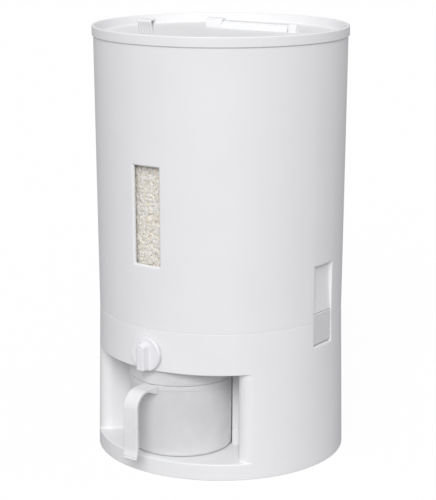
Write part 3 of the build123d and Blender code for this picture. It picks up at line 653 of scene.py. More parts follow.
def alcoveOutline(radius, inset):
    # right half of the alcove's plan from its middle back: arc, flared wall, rounded mouth edge on the drum
    arcRadius = base["alcoveRadius"] + inset
    mouthRound = base["mouthRound"] - inset
    flare = base["flare"]
    outward = onCircle(flare)
    ahead = np.array([np.sin(flare), -np.cos(flare)])
    touch = cupAxis + arcRadius * outward
    start = touch + mouthRound * outward
    along = start @ ahead
    reach = -along + np.sqrt(along ** 2 - start @ start + (radius - mouthRound) ** 2)
    centre = start + reach[:, None] * ahead
    backCount, wallCount, edgeCount = base["planColumns"]
    back = cupAxis + arcRadius * onCircle(np.linspace(np.pi / 2, flare, backCount))
    wallEnd = centre - mouthRound * outward
    share = np.linspace(0, 1, wallCount)[1:, None]
    wallRun = touch + share * (wallEnd[:, None] - touch)
    first = flare - np.pi
    last = np.arctan2(centre[:, 1], centre[:, 0])
    sweepAngle = first + (last[:, None] - first) * np.linspace(0, 1, edgeCount)[1:]
    edge = centre[:, None] + mouthRound * onCircle(sweepAngle)
    rows = len(radius)
    return np.concatenate([np.broadcast_to(back, (rows, *back.shape)), wallRun, edge], 1)


def baseSkin(depth, grow):
    # one skin of the base: up the drum, in over the alcove's floor, up its wall, out under its ceiling and up.
    # A front point lies between the drum's face and the alcove's plan, at a distance from the face.
    thick = base["floorThickness"] if depth else 0.0
    floor, ceiling = base["floor"] - thick, base["ceiling"] + thick
    top, edge = drum["seamHeight"], scoop["edgeRound"]
    footRound = 0.0 if depth else base["footRound"]

    def mouthWidth(z):
        radius = np.array([drumRadius(z) - depth])
        plan = alcoveOutline(radius, depth)[0]
        run = runAlong(plan)
        mouth = np.arctan2(plan[-1, 0], -plan[-1, 1]) * run / run[-1]
        front = radius[0] * np.stack([np.sin(mouth), -np.cos(mouth)], 1)
        return np.linalg.norm(front - plan, axis=1), run / run[-1]

    floorWidth, share = mouthWidth(floor)
    ceilingWidth = mouthWidth(ceiling)[0]
    zero = np.zeros(sideCount + base["arcColumns"] + drum["backColumns"])

    def rounding(size, width):
        return np.concatenate([np.minimum(size, width / 2), zero])

    lipLow, lipHigh = (rounding(base["lipRound"], width) for width in (floorWidth, ceilingWidth))
    cornerLow, cornerHigh = (rounding(base["cornerRound"], width) for width in (floorWidth, ceilingWidth))
    start, end = rollStart[:, None], rollEnd[:, None]
    across = np.linspace(0, 1, base["floorRows"])[1:-1, None]
    climb = np.linspace(0, 1, base["wallRows"])[1:-1, None]
    pocketEdge = pocketLow - grow - edge * rollEnd
    pocketRows = np.concatenate([
        [pocketEdge[0] - base["pocketLead"]], pocketEdge,
        np.linspace(pocketLow - grow, top - base["pocketTrail"], base["pocketRows"]),
        top - drum["rimRound"] * rollEnd])
    everyColumn = np.ones(len(lipLow))
    heights = [
        footRound * start * everyColumn,
        np.array(base["plinthRows"])[:, None] * everyColumn,
        floor - lipLow * end,
        floor * np.ones_like(across) * everyColumn,
        floor + cornerLow * start,
        floor + cornerLow + climb * (ceiling - floor - cornerLow - cornerHigh),
        ceiling - cornerHigh * end,
        ceiling * np.ones_like(across) * everyColumn,
        ceiling + lipHigh * start,
        pocketRows[:, None] * everyColumn]
    z = np.concatenate(heights)
    rollRows = len(roll)
    inset = np.zeros(len(z))
    inset[:rollRows] = footRound * rollEnd
    inset[-rollRows:] = drum["rimRound"] * rollStart * (depth == 0)
    radius = drumRadius(z) - depth - inset[:, None]
    cols = len(floorWidth)
    middle = z[:, cols - 1]
    plan = alcoveOutline(drumRadius(middle) - depth - inset, depth)
    mouth = np.arctan2(plan[:, -1, 0], -plan[:, -1, 1])[:, None] * share
    front = radius[:, :cols, None] * np.stack([np.sin(mouth), -np.cos(mouth)], -1)
    width = np.linalg.norm(plan - front, axis=-1)
    inwards = (plan - front) / np.maximum(width, 1e-9)[..., None]
    lip, lipTop, corner, cornerTop = (value[:cols] for value in (lipLow, lipHigh, cornerLow, cornerHigh))
    widths = np.split(width, np.cumsum([len(rows) for rows in heights])[:-1])
    floorWide, heelWide, wallWide, headWide, ceilingWide = widths[3:8]
    distance = np.concatenate([
        0 * widths[0],
        0 * widths[1],
        lip * start,
        lip + across * (floorWide - lip - corner),
        heelWide - corner * end,
        wallWide,
        headWide - cornerTop * start,
        ceilingWide - cornerTop - across * (ceilingWide - lipTop - cornerTop),
        lipTop * end,
        0 * widths[9]])
    alcove = front + inwards * distance[..., None]
    rowLimit = np.zeros(len(z))
    firstPocket = len(z) - len(pocketRows) + 1
    rowLimit[firstPocket:firstPocket + rollRows] = edge * rollStart
    rowLimit[firstPocket + rollRows:] = np.inf
    floorX = np.full(len(z), pocketFloor - grow)
    return drumRows(alcove, z, radius[:, -1], (floorX, rowLimit), grow, base["arcColumns"])


def fence(back, top, rim, inset=0.0):
    # guide close round the back of the cup: a ring segment carried up from the floor
    inner = boxOf("measuring_cup")[1][0] + base["fenceGap"] + inset
    outer = base["alcoveRadius"] + base["fenceShare"] * drum["wall"]
    first, last = np.arcsin(back / inner), np.arcsin(back / outer)
    inside = np.linspace(first, np.pi - first, base["fenceColumns"])
    outside = np.linspace(np.pi - last, last, base["fenceColumns"])
    outline = np.concatenate([inner * onCircle(inside), outer * onCircle(outside)])
    return prism(cupAxis + outline, base["floor"] - base["fenceSunk"], top, 0, rim, alongZ)


makePiece("baseShell", [closedShell(baseSkin(0, 0), baseSkin(drum["wall"], scoop["backing"])),
                        fence(base["fenceBack"], base["ceiling"] + base["fenceSunk"], 0),
                        fence(base["kerbBack"], base["floor"] + base["kerbHeight"], base["kerbRound"],
                              base["kerbInset"])],
          "root", shellPlastic, ["base_shell"])
print("base done")

# Lid: turned ring with a plug, a fixed rear floor and the two ears that hold the hinge pin

hinge = pivotOf("flap_hinge")
lid = {
    "outer": boxOf("lid_ring")[1][0],
    "rimHeight": 10.7,
    "rimWidth": 3.5,
    "rimRound": 1.3,
    "footRound": 0.9,
    "skirtRound": 0.8,
    "lipRound": 0.3,
    "floorRise": 1.7,
    "shadowGap": 0.8,
    "shadowDepth": 1.3,
    "plugOuter": 121.925,
    "plugInner": 119.425,
    "plugLow": boxOf("lid_ring")[0][2],
    "plugRound": 0.6,
    "ledgeInner": 113.125,
    "ledgeLow": 411.0,
    "ledgeTop": 413.2,
    "ledgeRound": 0.4,
    "sealLow": 406.05,
    "sealTop": 409.25,
    "sealDepth": 1.2,
    "plate": 2.3,
    "plateRounds": (0.2, 0.4),    # under and on top
    "notchBack": 4.35,            # room for the flap's knuckle, behind the pin's axis
    "beamFront": 34.0,
    "beamBack": 44.5,
    "beamHalf": 110.0,
    "beamRound": 0.3,
    "ears": [(-48.4, -29.8, 6.0), (49.6, 58.6, 4.3)],     # left end, right end, radius
    "earRound": 0.9,
    "rooted": 0.5,      # how far a foot stands above the underside of what holds it
    "columns": 192,
    "gap": 0.35,
    "skin": 0.02,       # keeps faces that would lie in one plane apart
}
lidFloor = drum["top"] + lid["floorRise"]
lidTop = drum["top"] + lid["rimHeight"]
plateLow = lidFloor - lid["plate"]
rearFront = hinge[1] - lid["ears"][0][2]


def lidRing():
    # rim, skirt, plug with the seal's groove, and the ledge that the flap rests on, as one turned profile
    inner = lid["outer"] - lid["rimWidth"]
    step = lid["outer"] - lid["shadowDepth"]
    groove = lid["plugOuter"] - lid["sealDepth"]
    under = drum["top"] + lid["shadowGap"]
    plug, bore, ledge = lid["plugOuter"], lid["plugInner"], lid["ledgeInner"]
    corners = [(bore, lidFloor, lid["lipRound"]), (inner, lidFloor, lid["footRound"]),
               (inner, lidTop, lid["rimRound"]), (lid["outer"], lidTop, lid["rimRound"]),
               (lid["outer"], under, lid["skirtRound"]), (step, under, 0), (step, drum["top"], 0),
               (plug, drum["top"], 0), (plug, lid["sealTop"], 0),
               (groove, lid["sealTop"], 0), (groove, lid["sealLow"], 0), (plug, lid["sealLow"], 0),
               (plug, lid["plugLow"], lid["plugRound"]), (bore, lid["plugLow"], lid["plugRound"]),
               (bore, lid["ledgeLow"], 0), (ledge, lid["ledgeLow"], lid["ledgeRound"]),
               (ledge, lid["ledgeTop"], lid["ledgeRound"]), (bore, lid["ledgeTop"], 0)]
    return lathe(roundOutline(corners, 5), lid["columns"])


def rearPlate():
    # segment of a disc behind the hinge, notched for the flap's knuckle
    reach = (lid["plugInner"] + lid["plugOuter"]) / 2
    left, right = lid["ears"][0][1], lid["ears"][1][0]
    notch = hinge[1] + lid["notchBack"]
    edge = np.arcsin(rearFront / reach)
    angle = np.linspace(edge, np.pi - edge, 64)
    arc = reach * onCircle(angle)
    front = [(left, rearFront), (left, notch), (right, notch), (right, rearFront)]
    return prism(np.concatenate([arc, front]), plateLow, lidFloor - lid["skin"], *lid["plateRounds"], alongZ)


def ear(low, high, radius):
    # upright with a round top about the hinge pin
    turn = np.linspace(0, np.pi, 25)
    crown = hinge[1:] + radius * onCircle(turn)
    foot = plateLow + lid["rooted"]
    feet = [(hinge[1] - radius, foot), (hinge[1] + radius, foot)]
    return prism(np.concatenate([crown, feet]), low, high, lid["earRound"], lid["earRound"], alongX)


def beam(y0, y1, z0, z1):
    # square bar across the lid
    half, edge = lid["beamHalf"], lid["beamRound"]
    outline = np.array([(-half, y0), (half, y0), (half, y1), (-half, y1)])
    return prism(outline, z0 + lid["skin"], z1 - lid["skin"], edge, edge, alongZ)


lidParts = [lidRing(), rearPlate(), *[ear(*size) for size in lid["ears"]],
            beam(lid["beamFront"], lid["beamBack"], lid["ledgeLow"], lid["ledgeTop"]),
            beam(rearFront, lid["beamBack"], lid["ledgeLow"] + lid["rooted"], plateLow - lid["gap"])]
makePiece("lidRing", lidParts, "root", shellPlastic, ["lid_ring"])
print("lid ring done")

# Flap: a disc cut straight along the hinge, its knuckle bar and the looped pull tab

flap = {
    "radius": 119.075,
    "edgeRounds": (0.3, 0.5),     # under and on top
    "columns": 160,
    "knuckle": 4.0,
    "barFront": 7.0,
    "barEnds": (-29.45, 49.25),
    "barFoot": (0.7, 1.0),  # how far its foot steps back and down, inside the plate
    "rootDrop": 0.4,
    "rootRound": 0.2,
    "grooveLow": 1.75,      # above the pin's axis
    "grooveHigh": 3.5,
    "grooveBack": 1.1,      # in front of the pin's axis
    "tabWidth": 15.6,
    "tabTop": boxOf("lid_flap")[1][2],
    "tabWall": 1.5,
    "tabDepth": 6.6,        # across the top of the loop, between its middle lines
    "tabSlope": 0.6,
    "tabBend": 1.3,
    "tabTipBend": 0.8,
    "tabEdge": 0.35,        # rounding of the strip's edges, as a share of its wall
    "tabStem": 3.2,
    "tabNeck": 3.0,
    "tabInset": 0.45,
    "stemRound": 0.6,
    "ribs": 5,
    "ribEnds": (1.5, 1.2),  # from the tip and from the head
    "ribRadius": 0.9,
    "ribProud": 0.6,
}


def flapPlate():
    # disc cut off along a chord in front of the hinge
    back = rearFront - lid["gap"]
    edge = np.arcsin(back / flap["radius"])
    angle = np.linspace(np.pi - edge, 2 * np.pi + edge, flap["columns"])
    return prism(flap["radius"] * onCircle(angle), plateLow, lidFloor, *flap["edgeRounds"], alongZ)


def knuckleBar():
    # round knuckle about the pin, drawn forwards to a ramp that touches it and ends on the plate, with a groove
    # under its crest
    radius = flap["knuckle"]
    toe = np.array([-flap["barFront"], lidFloor - hinge[2]])
    facing = np.arctan2(toe[1], toe[0])
    spread = np.arccos(radius / np.linalg.norm(toe))
    rampTop = radius * onCircle(facing - spread)
    low, high = flap["grooveLow"], flap["grooveHigh"]
    mouth = toe + (rampTop - toe) * (low - toe[1]) / (rampTop[1] - toe[1])
    turn = np.linspace(np.pi - np.arcsin(high / radius), facing + spread, 26)
    crown = radius * onCircle(turn)
    groove = [mouth, (-flap["grooveBack"], low), (-flap["grooveBack"], high)]
    back, down = flap["barFoot"]
    foot = [(0, toe[1] - down), (toe[0] + back, toe[1] - down)]
    outline = hinge[1:] + np.concatenate([crown, foot, toe[None], groove])
    return prism(outline, *flap["barEnds"], 0, 0, alongX)


def knuckleRoot():
    # block under the bar that ties it into the plate
    y0 = rearFront - lid["gap"] - flap["barFront"]
    low, high = plateLow + lid["skin"], lidFloor - flap["rootDrop"]
    outline = np.array([(y0, low), (hinge[1], low), (hinge[1], high), (y0, high)])
    return prism(outline, *flap["barEnds"], flap["rootRound"], flap["rootRound"], alongX)


def pullTab():
    # strip bent into a three-cornered loop that leans over the rim, on a short stem, with ribs on its face
    wall, ribRadius = flap["tabWall"], flap["ribRadius"]
    front = -(flap["radius"] - flap["tabInset"])
    back = front + flap["tabStem"]
    neck = lidFloor + flap["tabNeck"]
    faceTop = boxOf("lid_flap")[0][1] + flap["ribProud"] + wall / 2
    top = flap["tabTop"] - wall / 2
    tip = ((front + back) / 2, neck)
    head = (faceTop, top - flap["tabSlope"])
    bend = flap["tabBend"]
    rear = (faceTop + flap["tabDepth"], top)
    loop = roundOutline([(*tip, flap["tabTipBend"]), (*head, bend), (*rear, bend)], 10)
    path = np.concatenate([np.zeros((len(loop), 1)), loop], 1)
    path = path[np.linalg.norm(path - np.roll(path, 1, 0), axis=1) > 1e-6]
    width = flap["tabWidth"] / 2
    parts = [sweep(path, flatStrip(width, wall, wall * flap["tabEdge"], 4), (1, 0, 0), True)]
    edge = flap["stemRound"]
    low, high = plateLow + lid["rooted"], neck + edge
    stem = np.array([(front, low), (back, low), (back, high), (front, high)])
    parts.append(prism(stem, -width, width, edge, edge, alongX))
    along = unit(np.subtract(head, tip))
    outwards = np.array([-along[1], along[0]]) * (wall / 2 + flap["ribProud"] - ribRadius)
    low = np.array(tip) + along * flap["ribEnds"][0] + outwards
    high = np.array(head) - along * flap["ribEnds"][1] + outwards
    ring = ribRadius * onCircle(np.linspace(0, 2 * np.pi, 12, endpoint=False))
    pitch = flap["tabWidth"] / flap["ribs"]
    for index in range(flap["ribs"]):
        x = (index - (flap["ribs"] - 1) / 2) * pitch
        line = np.array([(x, *low), (x, *(low + high) / 2), (x, *high)])
        parts.append(sweep(line, ring, (1, 0, 0)))
    return parts


makePiece("lidFlap", [flapPlate(), knuckleBar(), knuckleRoot(), *pullTab()], "flap",
          shellPlastic, ["lid_flap"])
print("flap done")

# Knob: disc with a grip bar across it

knob = {
    "radius": boxOf("knob")[1][0],
    "back": boxOf("knob")[1][1],
    "front": boxOf("knob")[0][1],
    "thickness": 3.5,
    "edgeRound": 1.1,
    "backRound": 0.4,
    "columns": 96,
    "gripHalf": 5.35,
    "gripInset": 0.2,       # from the disc's edge
    "gripSunk": 1.0,        # into the disc
    "gripTop": 12.3,
    "gripRound": 1.4,
    "gripDraft": np.tan(np.radians(6)),
    "footRound": 2.6,
    "dimple": 1.1,
    "dimpleDepth": 0.6,
    # shares of the dimple's radius and depth, from its edge to its middle
    "dimpleRings": [(1.15, 0.0), (1.0, 0.12), (0.8, 0.6), (0.45, 0.95), (0.0, 1.0)],
}


def knobParts():
    # turned disc, a drafted bar on it with a round upper end, and the bar's face
    centre = pivotOf("knob_turn")

    def facing(u, v, level):
        # u to the right, v up, level outwards from the knob's back
        return centre[0] + u, knob["back"] - level, centre[2] + v

    radius, thickness = knob["radius"], knob["thickness"]
    profile = roundOutline([(0, 0, 0), (radius, 0, knob["backRound"]), (radius, thickness, knob["edgeRound"]),
                            (0, thickness, 0)], closed=False)
    points, faces = lathe(profile, knob["columns"], closed=False)
    disc = (np.stack(facing(*points.T), 1), faces)
    half, top, footRound = knob["gripHalf"], knob["gripTop"], knob["footRound"]
    low = -np.sqrt(radius ** 2 - half ** 2) + knob["gripInset"]
    nearlyHalf = half * 0.995     # leaves a short flat, so that the two upper arcs don't share a point
    outline = roundOutline([(-half, low, footRound), (half, low, footRound), (half, top, nearlyHalf),
                            (-half, top, nearlyHalf)], 12)
    reach = knob["back"] - knob["front"]
    start = thickness - knob["gripSunk"]
    grip = prism(outline, start, reach, 0, knob["gripRound"], facing, capHigh=False, draft=knob["gripDraft"])
    # the grip's face closes in rings from its rim to a dimple that marks its upper end
    rim = outline + insetRays(outline) * (knob["gripRound"] + knob["gripDraft"] * (reach - start))
    mark = np.array([0, top - half])
    ray = unit(rim - mark)
    rings = [mark + ray * knob["dimple"] * wide for wide, deep in knob["dimpleRings"]]
    level = reach - knob["dimpleDepth"] * np.array([0, *[deep for wide, deep in knob["dimpleRings"]]])
    grid = np.stack([rim, *rings])
    face = np.stack(facing(grid[..., 0], grid[..., 1], np.repeat(level[:, None], len(rim), 1)), -1)
    return [disc, grip, (face.reshape(-1, 3), list(gridFaces(len(level), len(rim), False, True)))]


makePiece("turnKnob", knobParts(), "valve", knobPlastic, ["knob"], turnOut=False)
print("knob done")

# Measuring cup with its strap handle

cup = {
    "radius": boxOf("measuring_cup")[1][0],
    "bottom": boxOf("measuring_cup")[0][2],
    "rim": boxOf("measuring_cup")[1][2],
    "wall": 2.2,
    "draft": 0.5,
    "heelRound": 4.5,
    "rimRound": 0.9,
    "bandHeight": 5.0,
    "bandProud": 0.35,
    "bandRound": 0.3,
    "columns": 144,
    "strapWidth": 16.0,
    "strapThickness": 3.7,
    "strapRound": 1.1,
    "reach": 32.0,
    "bendRadius": 17.0,
    "drop": 0.5,
    "rootDepth": 9.5,
    "rootCurve": 1.35,      # power with which that depth fades along the strap
    "toeRise": 5.1,
    "toeHeight": 9.0,
    "toeKick": 2.5,
    "toeRound": 12.0,
    "creaseRise": 2.2,
    "creaseWidth": 1.0,
    "creaseDepth": 0.9,
    "endShrink": 0.9,       # how much of its rounding the strap's end draws in
    "pathStep": 0.4,
}


def cupBowl():
    # drafted wall with a rounded heel, a band under the rim that stands proud, and the same inside, turned
    outer, wall, proud = cup["radius"], cup["wall"], cup["bandProud"]
    bottom, rim, heelRound = cup["bottom"], cup["rim"], cup["heelRound"]
    heel = outer - cup["draft"] - proud
    band = rim - cup["bandHeight"]
    corners = [(0, bottom, 0), (heel, bottom, heelRound), (outer - proud, band, cup["bandRound"]),
               (outer, band + proud, cup["bandRound"]), (outer, rim, cup["rimRound"]),
               (outer - wall, rim, cup["rimRound"]), (heel - wall, bottom + wall, heelRound - wall),
               (0, bottom + wall, 0)]
    return lathe(roundOutline(corners, 8, closed=False), cup["columns"], cupAxis, closed=False)


def cupHandle():
    # strap carried out from the cup, round a bend and down to a toe kicked outwards, deeper at its root
    thick = cup["strapThickness"]
    front = cupAxis[1] - cup["radius"]
    top = cup["rim"] - cup["drop"] - thick / 2
    down = front - cup["reach"] + thick / 2
    toe = cup["bottom"] + cup["toeRise"]
    corners = [(front + cup["wall"] / 2, top, 0), (down, top, cup["bendRadius"] - thick / 2),
               (down, toe + cup["toeHeight"], cup["toeRound"]), (down - cup["toeKick"], toe, 0)]
    line = evenPath(roundOutline(corners, 16, closed=False), cup["pathStep"])
    path = np.concatenate([np.zeros((len(line), 1)), line], 1)
    rim = cup["strapRound"]
    section = flatStrip(cup["strapWidth"] / 2, thick, rim, 5)
    sections = np.repeat(section[None], len(path), 0)
    run = np.linspace(0, cup["pathStep"] * (len(path) - 1), len(path))
    span = cup["reach"] - cup["bendRadius"]
    deep = (cup["rootDepth"] - thick) * np.clip(1 - run / span, 0, 1) ** cup["rootCurve"]
    sections[:, section[:, 1] < 0, 1] -= deep[:, None]
    fromEnd = run[-1] - run
    inCrease = np.abs(fromEnd - cup["creaseRise"]) < cup["creaseWidth"] / 2
    sections[:, section[:, 1] > 0, 1] -= cup["creaseDepth"] * inCrease[:, None]
    shrink = np.sqrt(np.clip(1 - (1 - np.clip(fromEnd / rim, 0, 1)) ** 2, 0, 1))
    sections -= np.sign(sections) * rim * (1 - shrink[:, None, None]) * cup["endShrink"]
    return sweep(path, sections, (1, 0, 0))


# bowl and strap are one polypropylene in two copies: the bowl's darker colour is painted shade, the strap's
# lighter colour painted light
makePiece("measuringCup", [cupBowl()], "cup", shadedCupPlastic, ["measuring_cup"])
makePiece("cupStrap", [cupHandle()], "cup", litStrapPlastic, ["measuring_cup"])
print("cup done")

# Side latches: a flat panel on a round eye, with a hook behind its upper end


def latchPart(side):
    # side view of panel, hook and eye, carried across the latch's width
    outer, inner = latch["outer"], latch["outer"] - latch["thickness"]
    eye, low, top = latch["inner"], latch["low"], latch["top"]
    radius = (outer - eye) / 2 - 0.01     # leaves a short flat, so that the eye's arcs don't share a point
    eyeTop = low + outer - eye
    hookLow, hookTop = latch["hookLow"], latch["hookLow"] + latch["hookHeight"]
    hook = inner - latch["hookReach"]
    small, tight = latch["hookRound"], latch["innerRound"]
    corners = [(outer, top, latch["topRound"]), (inner, top, small), (inner, hookTop, 0),
               (hook, hookTop, small), (hook, hookLow, small), (inner, hookLow, tight), (inner, eyeTop, tight),
               (eye, eyeTop, radius), (eye, low, radius), (outer, low, radius)]
    outline = roundOutline(corners, 8)
    edge = latch["edgeRound"]

    def place(u, v, level):
        return side * u, side * level, v

    return prism(outline, -latch["half"], latch["half"], edge, edge, place)


# the latches' greyer colour is painted shade
makePiece("latchRight", [latchPart(1)], "right_latch", shadedLatchPlastic, ["latch_right"])
makePiece("latchLeft", [latchPart(-1)], "left_latch", shadedLatchPlastic, ["latch_left"])
print("latches done")

# Rice: the heap inside, and grains where it shows, behind the window and on top

heap = {
    "level": boxOf("rice_fill")[1][2],
    "gap": 0.3,
    "funnelFront": 190.0,
    "funnelBack": 265.0,
    "neckRadius": 16.2,
    "neckTop": 150.0,
    "neckLow": boxOf("rice_fill")[0][2],
    "paneBack": 5.8,            # depth behind the drum's face where the rice meets the pane
    "paneHalf": 20.2,
    "panePast": (4.0, 10.0),    # how far the dent goes past the pane, sideways and upwards
    "paneFade": (3.0, 4.0),     # over which length it fades out there
    "dent": 2.6,                # the heap lies this far behind the grains' faces
    "swell": 2.2,               # unevenness of the top
    "swellLengths": (31.0, 27.0, 23.0),
    "sink": 1.5,                # keeps the grains on top under the rice's level
    "columns": 160,
    "topRings": 16,
    "sideRings": 34,
    "tint": 0.25,
}
grain = {
    "length": 6.6,
    "width": 2.8,
    "lengthSpread": (0.82, 1.12),
    "widthSpread": (0.85, 1.12),
    "flatness": 0.85,
    "sides": 6,
    "stations": (0.0, 0.09, 0.32, 0.66, 0.92, 1.0),
    "bluntness": 0.62,
    "tintShape": (2.2, 1.3),    # of the beta curve that tints are drawn from
    "seed": 20,
    "windowCount": 1250,
    "windowMargin": 5.0,        # past the opening's foot and head
    "windowTilt": 0.1,          # out of the pane's plane
    "pressed": 0.55,            # depth of the first layer behind the pane, in grain widths
    "layerShare": 0.7,          # of the dent that the layers fill
    "layerCurve": 0.8,
    "topCount": 2800,
    "topLift": (-0.2, 1.0),
    "topTilt": 0.25,
}
upright = np.array([0.0, 0.0, 1.0])


def heapHeight(x, y):
    # level top with a few shallow swells: a sine across times a cosine to the back, plus half a slanted sine
    across, back, slanted = heap["swellLengths"]
    wave = np.sin(x / across + 0.4) * np.cos(y / back - 0.8) + 0.5 * np.sin((x + 2 * y) / slanted)
    return heap["level"] - heap["swell"] - heap["sink"] + heap["swell"] * wave * 0.5


def heapBody():
    # rings from the top's middle out to the barrel, down to the funnel's tilted mouth and in to its neck
    columns = heap["columns"]
    angle = np.linspace(-np.pi / 2, 1.5 * np.pi, columns, endpoint=False)
    wide = drumRadius(heap["level"]) - drum["wall"] - heap["gap"]
    share = np.linspace(0, 1, heap["topRings"])[:, None]
    topX, topY = wide * share * np.cos(angle), wide * share * np.sin(angle)
    top = np.stack([topX, topY, heapHeight(topX, topY)], -1)
    middle = (heap["funnelFront"] + heap["funnelBack"]) / 2
    slope = (heap["funnelBack"] - heap["funnelFront"]) / 2 / (drumRadius(middle) - drum["wall"])
    mouthZ = middle + slope * wide * np.sin(angle) + 2 * heap["gap"]
    share = np.linspace(0, 1, heap["sideRings"])[1:, None]
    sideZ = top[-1, :, 2] + share * (mouthZ - top[-1, :, 2])
    radius = drumRadius(sideZ) - drum["wall"] - heap["gap"]
    past, fade = heap["panePast"], heap["paneFade"]
    sideways = heap["paneHalf"] + past[0] - np.abs(radius * np.cos(angle))
    upwards = np.minimum(sideZ - barrel["windowLow"], barrel["windowHigh"] - sideZ) + past[1]
    inPane = np.clip(sideways / fade[0], 0, 1) * np.clip(upwards / fade[1], 0, 1) * (np.sin(angle) < 0)
    radius -= inPane * (heap["paneBack"] + heap["dent"] - drum["wall"])
    side = np.stack([radius * np.cos(angle), radius * np.sin(angle), sideZ], -1)
    neck = cupAxis + heap["neckRadius"] * onCircle(angle)
    rings = [np.concatenate([neck, np.full((columns, 1), height)], 1)
             for height in (heap["neckTop"], heap["neckLow"])]
    foot = np.broadcast_to([*cupAxis, heap["neckLow"]], (columns, 3))
    grid = np.concatenate([top, side, [*rings, foot]])
    return grid.reshape(-1, 3), gridFaces(len(grid), columns, False, True)


def grainField(centres, ahead, upwards, rng):
    # one blunt spindle for each centre: rings whose radius follows a power of a sine, closed at both ends
    station = np.array(grain["stations"])
    girth = np.sin(np.pi * (0.04 + 0.92 * station)) ** grain["bluntness"]
    girth[[0, -1]] = 0.0
    turn = onCircle(np.linspace(0, 2 * np.pi, grain["sides"], endpoint=False))
    count = len(centres)
    length = grain["length"] * rng.uniform(*grain["lengthSpread"], count)
    width = grain["width"] * rng.uniform(*grain["widthSpread"], count)
    ahead = unit(ahead)
    sideways = unit(np.cross(upwards, ahead))
    above = np.cross(ahead, sideways)
    along = (station - 0.5)[None, :, None, None] * length[:, None, None, None] * ahead[:, None, None]
    ring = girth[None, :, None, None] * width[:, None, None, None] / 2
    spoke = turn[:, :1] * sideways[:, None, None] + grain["flatness"] * turn[:, 1:] * above[:, None, None]
    points = centres[:, None, None] + along + ring * spoke
    faces = gridFaces(len(station), grain["sides"], False, True)
    each = len(station) * grain["sides"]
    faces = (faces[None] + np.arange(count)[:, None, None] * each).reshape(-1, 4)
    tints = np.repeat(rng.beta(*grain["tintShape"], count), each)
    return points.reshape(-1, 3), faces, tints


def windowGrains(rng):
    # two loose layers pressed flat against the pane
    count, margin = grain["windowCount"], grain["windowMargin"]
    x = rng.uniform(-heap["paneHalf"], heap["paneHalf"], count)
    z = rng.uniform(barrel["windowLow"] - margin, barrel["windowHigh"] + margin, count)
    layer = rng.uniform(0, 1, count) ** grain["layerCurve"]
    depth = heap["paneBack"] + grain["width"] * grain["pressed"] + layer * heap["dent"] * grain["layerShare"]
    radius = drumRadius(z) - depth
    centres = np.stack([x, -np.sqrt(radius ** 2 - x ** 2), z], 1)
    outwards = unit(np.stack([x, centres[:, 1], np.zeros(count)], 1))
    lean = rng.uniform(0, np.pi, count)
    across = unit(np.cross(upright, outwards))
    ahead = across * np.cos(lean)[:, None] + upright * np.sin(lean)[:, None]
    ahead += outwards * rng.normal(0, grain["windowTilt"], count)[:, None]
    return grainField(centres, ahead, outwards, rng)


def topGrains(rng):
    # lying all ways on the heap's top, spread evenly over its disc
    count = grain["topCount"]
    reach = drumRadius(heap["level"]) - drum["wall"] - heap["gap"] - grain["length"] / 2
    radius = reach * np.sqrt(rng.uniform(0, 1, count))
    angle = rng.uniform(0, 2 * np.pi, count)
    x, y = radius * np.cos(angle), radius * np.sin(angle)
    centres = np.stack([x, y, heapHeight(x, y) + rng.uniform(*grain["topLift"], count)], 1)
    lean = rng.uniform(0, 2 * np.pi, count)
    ahead = np.stack([np.cos(lean), np.sin(lean), rng.normal(0, grain["topTilt"], count)], 1)
    return grainField(centres, ahead, np.broadcast_to(upright, ahead.shape), rng)


rng = np.random.default_rng(grain["seed"])
bodyPoints, bodyFaces = heapBody()
makePiece("riceHeap", [(bodyPoints, list(bodyFaces))], "root", rice, ["rice_fill"],
          np.full(len(bodyPoints), heap["tint"]))
for name, field in (("riceAtWindow", windowGrains), ("riceOnTop", topGrains)):
    points, faces, tints = field(rng)
    makePiece(name, [(points, list(faces))], "root", rice, (), tints)
print("rice done")

# Stage: pale floor, soft light and the photograph's camera

stage = {
    "floorHalf": 6.0,           # metres
    "floorColour": "#A5A5A7",
    "floorWhite": 0.95,         # share of plain white in what the camera sees of the floor
    "skyStrength": 0.58,
    "keyAzimuth": 29.0,
    "keyElevation": 33.0,
    "keySpread": 31.0,          # how wide the large soft lamp looks from the object, in degrees
    "keyStrength": 1.83,
    "keyDistance": 3.0,         # metres
}
camera = {
    "azimuth": 35.0,        # degrees
    "distance": 1.5998,     # metres
    "height": 0.57751,
    "pitch": 0.2324,        # radians downwards
    "yaw": -0.0017,
    "lens": 117.3,          # millimetres
}


def direction(azimuth, elevation):
    # from the object towards a point on a sphere round it; azimuth 0 is the front
    a, e = np.radians(azimuth), np.radians(elevation)
    return np.array([np.sin(a) * np.cos(e), -np.cos(a) * np.cos(e), np.sin(e)])


def whiteToCamera(tree, seen, lit):
    # what camera and glass rays see in place of what lights the object
    ray = addNode(tree, "ShaderNodeLightPath").outputs
    either = addNode(tree, "ShaderNodeMath", {"operation": "MAXIMUM"}, input0=ray["Is Camera Ray"],
                     input1=ray["Is Transmission Ray"])
    mix = addNode(tree, "ShaderNodeMixShader", Fac=either.outputs["Value"], input1=lit, input2=seen)
    return mix.outputs["Shader"]


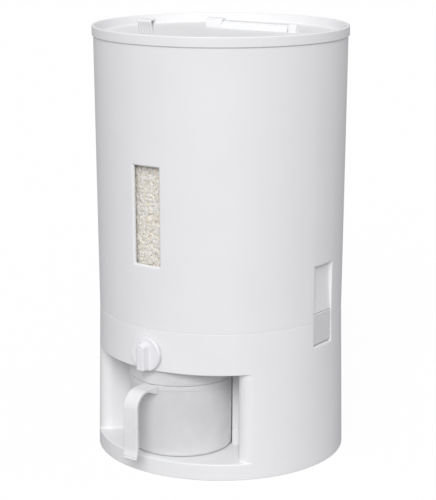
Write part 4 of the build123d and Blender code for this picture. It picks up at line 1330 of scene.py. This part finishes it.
def softSky():
    world = bpy.data.worlds.new("softSky")
    bpy.context.scene.world = world
    world.use_nodes = True
    tree = world.node_tree
    tree.nodes.clear()
    seen = addNode(tree, "ShaderNodeBackground", {"Color": linear("#FFFFFF"), "Strength": 1.0})
    lit = addNode(tree, "ShaderNodeBackground", {"Color": linear("#FEFEFF"), "Strength": stage["skyStrength"]})
    surface = whiteToCamera(tree, seen.outputs["Background"], lit.outputs["Background"])
    addNode(tree, "ShaderNodeOutputWorld", Surface=surface)


def paleFloor():
    # matt card: the camera sees it almost plain white, with a trace of the object's shadow
    material, tree = startMaterial("paleFloor")
    matt = addNode(tree, "ShaderNodeBsdfDiffuse", {"Color": linear(stage["floorColour"])})
    white = addNode(tree, "ShaderNodeEmission", {"Color": linear("#FFFFFF"), "Strength": 1.0})
    paper = addNode(tree, "ShaderNodeBsdfDiffuse", {"Color": linear("#FFFFFF")})
    shade = addNode(tree, "ShaderNodeMixShader", {"Fac": stage["floorWhite"]}, input1=paper.outputs["BSDF"],
                    input2=white.outputs["Emission"])
    surface = whiteToCamera(tree, shade.outputs["Shader"], matt.outputs["BSDF"])
    addNode(tree, "ShaderNodeOutputMaterial", Surface=surface)
    half = stage["floorHalf"]
    corners = [(-half, -half, 0), (half, -half, 0), (half, half, 0), (-half, half, 0)]
    mesh = bpy.data.meshes.new("floor")
    mesh.from_pydata(corners, [], [(0, 1, 2, 3)])
    mesh.materials.append(material)
    floor = addObject("floor", mesh)


def faceAlong(thing, way):
    thing.rotation_euler = Vector(way).to_track_quat("-Z", "Y").to_euler()


def keyLight():
    lamp = bpy.data.lights.new("keyLight", "SUN")
    lamp.energy = stage["keyStrength"]
    lamp.angle = np.radians(stage["keySpread"])
    light = addObject("keyLight", lamp)
    towards = direction(stage["keyAzimuth"], stage["keyElevation"])
    light.location = towards * stage["keyDistance"]
    faceAlong(light, -towards)


def photoCamera():
    lens = bpy.data.cameras.new("photoCamera")
    lens.lens = camera["lens"]
    view = addObject("photoCamera", lens)
    view.location = direction(camera["azimuth"], 0) * camera["distance"] + upright * camera["height"]
    faceAlong(view, -direction(camera["azimuth"] - np.degrees(camera["yaw"]), np.degrees(camera["pitch"])))
    bpy.context.scene.camera = view
    bpy.context.scene.view_settings.view_transform = "Standard"


softSky()
paleFloor()
keyLight()
photoCamera()
print("stage done")
